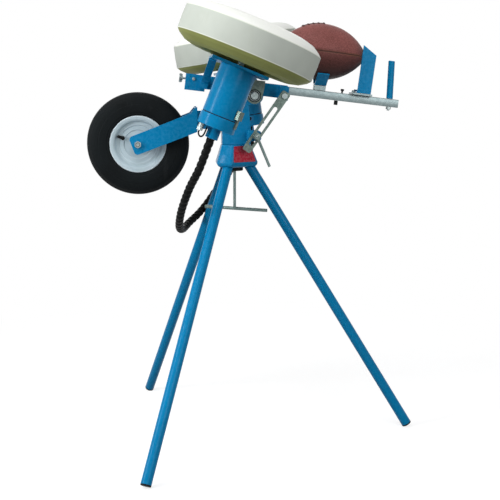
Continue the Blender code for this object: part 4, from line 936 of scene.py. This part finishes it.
def makeWrapTree(values):
    # a sleeve along the curve whose skin rises and falls in a spiral, as tape wound over itself
    tree, identifiers, given, out = startTree("spiralWrap", values)
    dense = addNode(tree, "GeometryNodeResampleCurve")
    link(given.outputs["Geometry"], dense.inputs["Curve"])
    link(given.outputs["Rings"], dense.inputs["Count"])
    circle = addCircle(tree, given.outputs["Outer Radius"], harness["sides"])
    route, along = keepShare(tree, "along", dense.outputs["Curve"])
    profile, around = keepShare(tree, "around", circle)
    # over each turn the swing goes from 1 to 0 and back
    wound = mathIn(tree, "MULTIPLY", along, given.outputs["Turns"])
    phase = mathIn(tree, "FRACT", mathIn(tree, "SUBTRACT", wound, around))
    swing = mathIn(tree, "ABSOLUTE", mathIn(tree, "SUBTRACT", mathIn(tree, "MULTIPLY", phase, 2.0), 1.0))
    sharpened = mathIn(tree, "POWER", swing, harness["sharpness"])
    dip = mathIn(tree, "MULTIPLY", sharpened, given.outputs["Relief"])
    inwards = addNode(tree, "ShaderNodeVectorMath", operation="SCALE")
    link(addNode(tree, "GeometryNodeInputNormal").outputs["Normal"], inwards.inputs[0])
    link(mathIn(tree, "MULTIPLY", dip, -1.0), inwards.inputs["Scale"])
    wrap = addNode(tree, "GeometryNodeSetPosition")
    link(addTube(tree, route, profile), wrap.inputs["Geometry"])
    link(inwards.outputs["Vector"], wrap.inputs["Offset"])
    endTree(tree, wrap.outputs["Geometry"], given, out)
    return tree, identifiers


def curveThrough(name, points):
    curve = bpy.data.curves.new(name, "CURVE")
    curve.dimensions = "3D"
    spline = curve.splines.new("POLY")
    spline.points.add(len(points) - 1)
    for point, here in zip(spline.points, points):
        point.co = (*here, 1)
    return curve


mesh = runTree("harnessWrap", curveThrough("harnessRoute", harnessRoute), makeWrapTree, {
    "Outer Radius": harness["radius"], "Relief": harness["relief"], "Turns": routeLength / harness["pitch"],
    "Rings": harness["rings"], "Material": materials["black"],
})
harnessPiece = addPiece("harnessWrap", mesh, None, "black", ["harness"])
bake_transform(harnessPiece)
print("harness made")


# motor lead: a short loop from the gland back under the cap, its points as (x, y, depth) from the gland's end
lead = {"x": -0.0415, "y": -0.0150, "radius": 0.0024, "glandLength": 0.021, "resolution": 3, "perSpan": 6,
        "loop": [(0.0, 0.0, 0.0003), (0.0005, 0.0, 0.0080), (0.0060, -0.001, 0.0150),
                 (0.0125, -0.003, 0.0145), (0.0165, -0.005, 0.0060)],
        "end": (0.0175, -0.006), "endBelow": 0.0008}
capBottom = -motor["capBottom"] - pieceGap
glandBottom = capBottom - lead["glandLength"]
leadPoints = [(lead["x"] + x, lead["y"] + y, glandBottom - below) for x, y, below in lead["loop"]]
endX, endY = lead["end"]
leadPoints.append((lead["x"] + endX, lead["y"] + endY, capBottom - lead["radius"] - lead["endBelow"]))
leadRoute = smoothRoute([wheelFrames["near"] @ Vector(point) for point in leadPoints], lead["perSpan"])
leadCurve = curveThrough("motorLead", leadRoute)
leadCurve.bevel_depth = lead["radius"]
leadCurve.bevel_resolution = lead["resolution"]
leadCurve.use_fill_caps = True
leadPiece = addPiece("motorLead", leadCurve, "head", "black", ["motor_lead"])


# laces across the ball's top seam
laces = {"first": -0.068, "last": -0.005, "count": 5, "half": 0.018, "radius": 0.0030, "sink": 0.0008,
         "strand": 0.0014, "arcPoints": 13, "sides": 10, "strandSides": 8, "steps": 24}


def makeLaceTree(values):
    # short arcs across the curve at even steps, and one strand along it
    tree, identifiers, given, out = startTree("ballLaces", values)
    arc = addNode(tree, "GeometryNodeCurveArc", mode="POINTS")
    setInputs(arc, {"Resolution": laces["arcPoints"], "Middle": (0, 0, 0)})
    drop = mathIn(tree, "MULTIPLY", given.outputs["Bow"], -1.0)
    for label, sign in (("Start", -1.0), ("End", 1.0)):
        corner = addNode(tree, "ShaderNodeCombineXYZ")
        link(mathIn(tree, "MULTIPLY", given.outputs["Half Length"], sign), corner.inputs["Y"])
        link(drop, corner.inputs["Z"])
        link(corner.outputs["Vector"], arc.inputs[label])
    circle = addCircle(tree, given.outputs["Lace Radius"], laces["sides"])
    lace = addTube(tree, arc.outputs["Curve"], circle)
    circle = addCircle(tree, given.outputs["Strand Radius"], laces["strandSides"])
    strand = addTube(tree, given.outputs["Geometry"], circle)
    steps = addNode(tree, "GeometryNodeCurveToPoints", mode="COUNT")
    link(given.outputs["Geometry"], steps.inputs["Curve"])
    link(given.outputs["Count"], steps.inputs["Count"])
    follow = addNode(tree, "FunctionNodeAlignRotationToVector", axis="X")
    link(steps.outputs["Tangent"], follow.inputs["Vector"])
    spread = addNode(tree, "GeometryNodeInstanceOnPoints")
    link(steps.outputs["Points"], spread.inputs["Points"])
    link(lace, spread.inputs["Instance"])
    link(follow.outputs["Rotation"], spread.inputs["Rotation"])
    joined = addNode(tree, "GeometryNodeJoinGeometry")
    link(spread.outputs["Instances"], joined.inputs["Geometry"])
    link(strand, joined.inputs["Geometry"])
    endTree(tree, joined.outputs["Geometry"], given, out)
    return tree, identifiers


seamLine = []
for step in range(laces["steps"] + 1):
    x = laces["first"] + (laces["last"] - laces["first"]) * step / laces["steps"]
    seamLine.append(Vector((x, 0, ballRadius(x) + laces["sink"])))
mesh = runTree("ballLaces", curveThrough("laceLine", seamLine), makeLaceTree, {
    "Count": laces["count"], "Half Length": laces["half"], "Bow": laces["half"] ** 2 / (2 * ball["radius"]),
    "Lace Radius": laces["radius"], "Strand Radius": laces["strand"], "Material": laceMaterial,
})
mesh.transform(ballFrame)
addPiece("ballLaces", mesh, "football", "leather")
print("laces made")


# small fasteners: two bolts on the neck's rear edge, and thin black rings of painted shadow round the tilt
# bolt and the axle's bolt
bolt = {"seats": ((1.0138, 0.0462), (0.9845, 0.0488)), "across": -0.022, "radius": 0.0055,
        "length": 0.0052, "sunk": 0.0005, "rounding": 0.0008}
for index, (height, seat) in enumerate(bolt["seats"]):
    place = frameAt(Vector((machineOrigin.x + seat, bolt["across"], height)), backwards)
    radius, low, high = bolt["radius"], -bolt["sunk"], bolt["length"]
    outline = [(0, low), (radius, low), (radius, high), (0, high)]
    addTurned("neckBolt%d" % index, outline, place, "neck", "black", rounding=bolt["rounding"], sides=6,
              closed=False)
shadowRings = {
    "tiltOuterShadowRing": {"at": pivot, "low": 0.0168, "high": 0.0198, "face": 0.0383, "thick": 0.0008},
    "tiltInnerShadowRing": {"at": pivot, "low": 0.0122, "high": 0.0150, "face": 0.0411, "thick": 0.0005},
    "axleBoltShadowRing": {"at": axle, "low": 0.0052, "high": 0.0068, "face": 0.0725, "thick": 0.0004},
}
# painted shadow: thin black discs round the washers and the bolt
for name, ring in shadowRings.items():
    place = frameAt(Vector((ring["at"].x, -ring["face"], ring["at"].z)), -across, upwards)
    low, high, thick = ring["low"], ring["high"], ring["thick"]
    outline = [(low, 0), (high, 0), (high, thick), (low, thick)]
    addTurned(name, outline, place, "neck", "black", sides=48)
print("small fasteners made")


# legs, each a long smooth tube with its plug
leg = {"apexHeight": 0.9425, "lean": 31.36, "radius": 0.015875, "start": 0.0556, "plugFlange": 0.004,
       "rounding": 0.0008, "plugRounding": 0.0010, "sides": 48}
apex = machineOrigin + Vector((0, 0, leg["apexHeight"]))
lean = math.radians(leg["lean"])
legLength = (leg["apexHeight"] - leg["radius"] * math.sin(lean)) / math.cos(lean)
tubeEnd = legLength - leg["plugFlange"] - pieceGap


def addLegPiece(title, place, start, end, slot, node, rounding):
    outline = [(0, start), (leg["radius"], start), (leg["radius"], end), (0, end)]
    addTurned(title, outline, place, "tripod", slot, [node], rounding, sides=leg["sides"], closed=False)


for legName, heading in {"rear": 0, "near_front": -120, "far_front": 120}.items():
    turn = Matrix.Rotation(math.radians(heading), 3, "Z")
    place = frameAt(apex, turn @ Vector((math.sin(lean), 0, -math.cos(lean))), turn @ across)
    title = legName.title().replace("_", "")
    addLegPiece("leg" + title, place, leg["start"], tubeEnd, "blue", "leg_" + legName, leg["rounding"])
    addLegPiece("plug" + title, place, tubeEnd + pieceGap, legLength, "black", "foot_plug_" + legName,
                leg["plugRounding"])
print("legs made")


# the other rigid pieces
done = {name for piece in scene.objects for name in piece.get("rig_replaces", [])}
for node in sorted(set(nodes) - done):
    addSkin(node)
print("soft edges on", len(nodes) - len(done), "pieces")
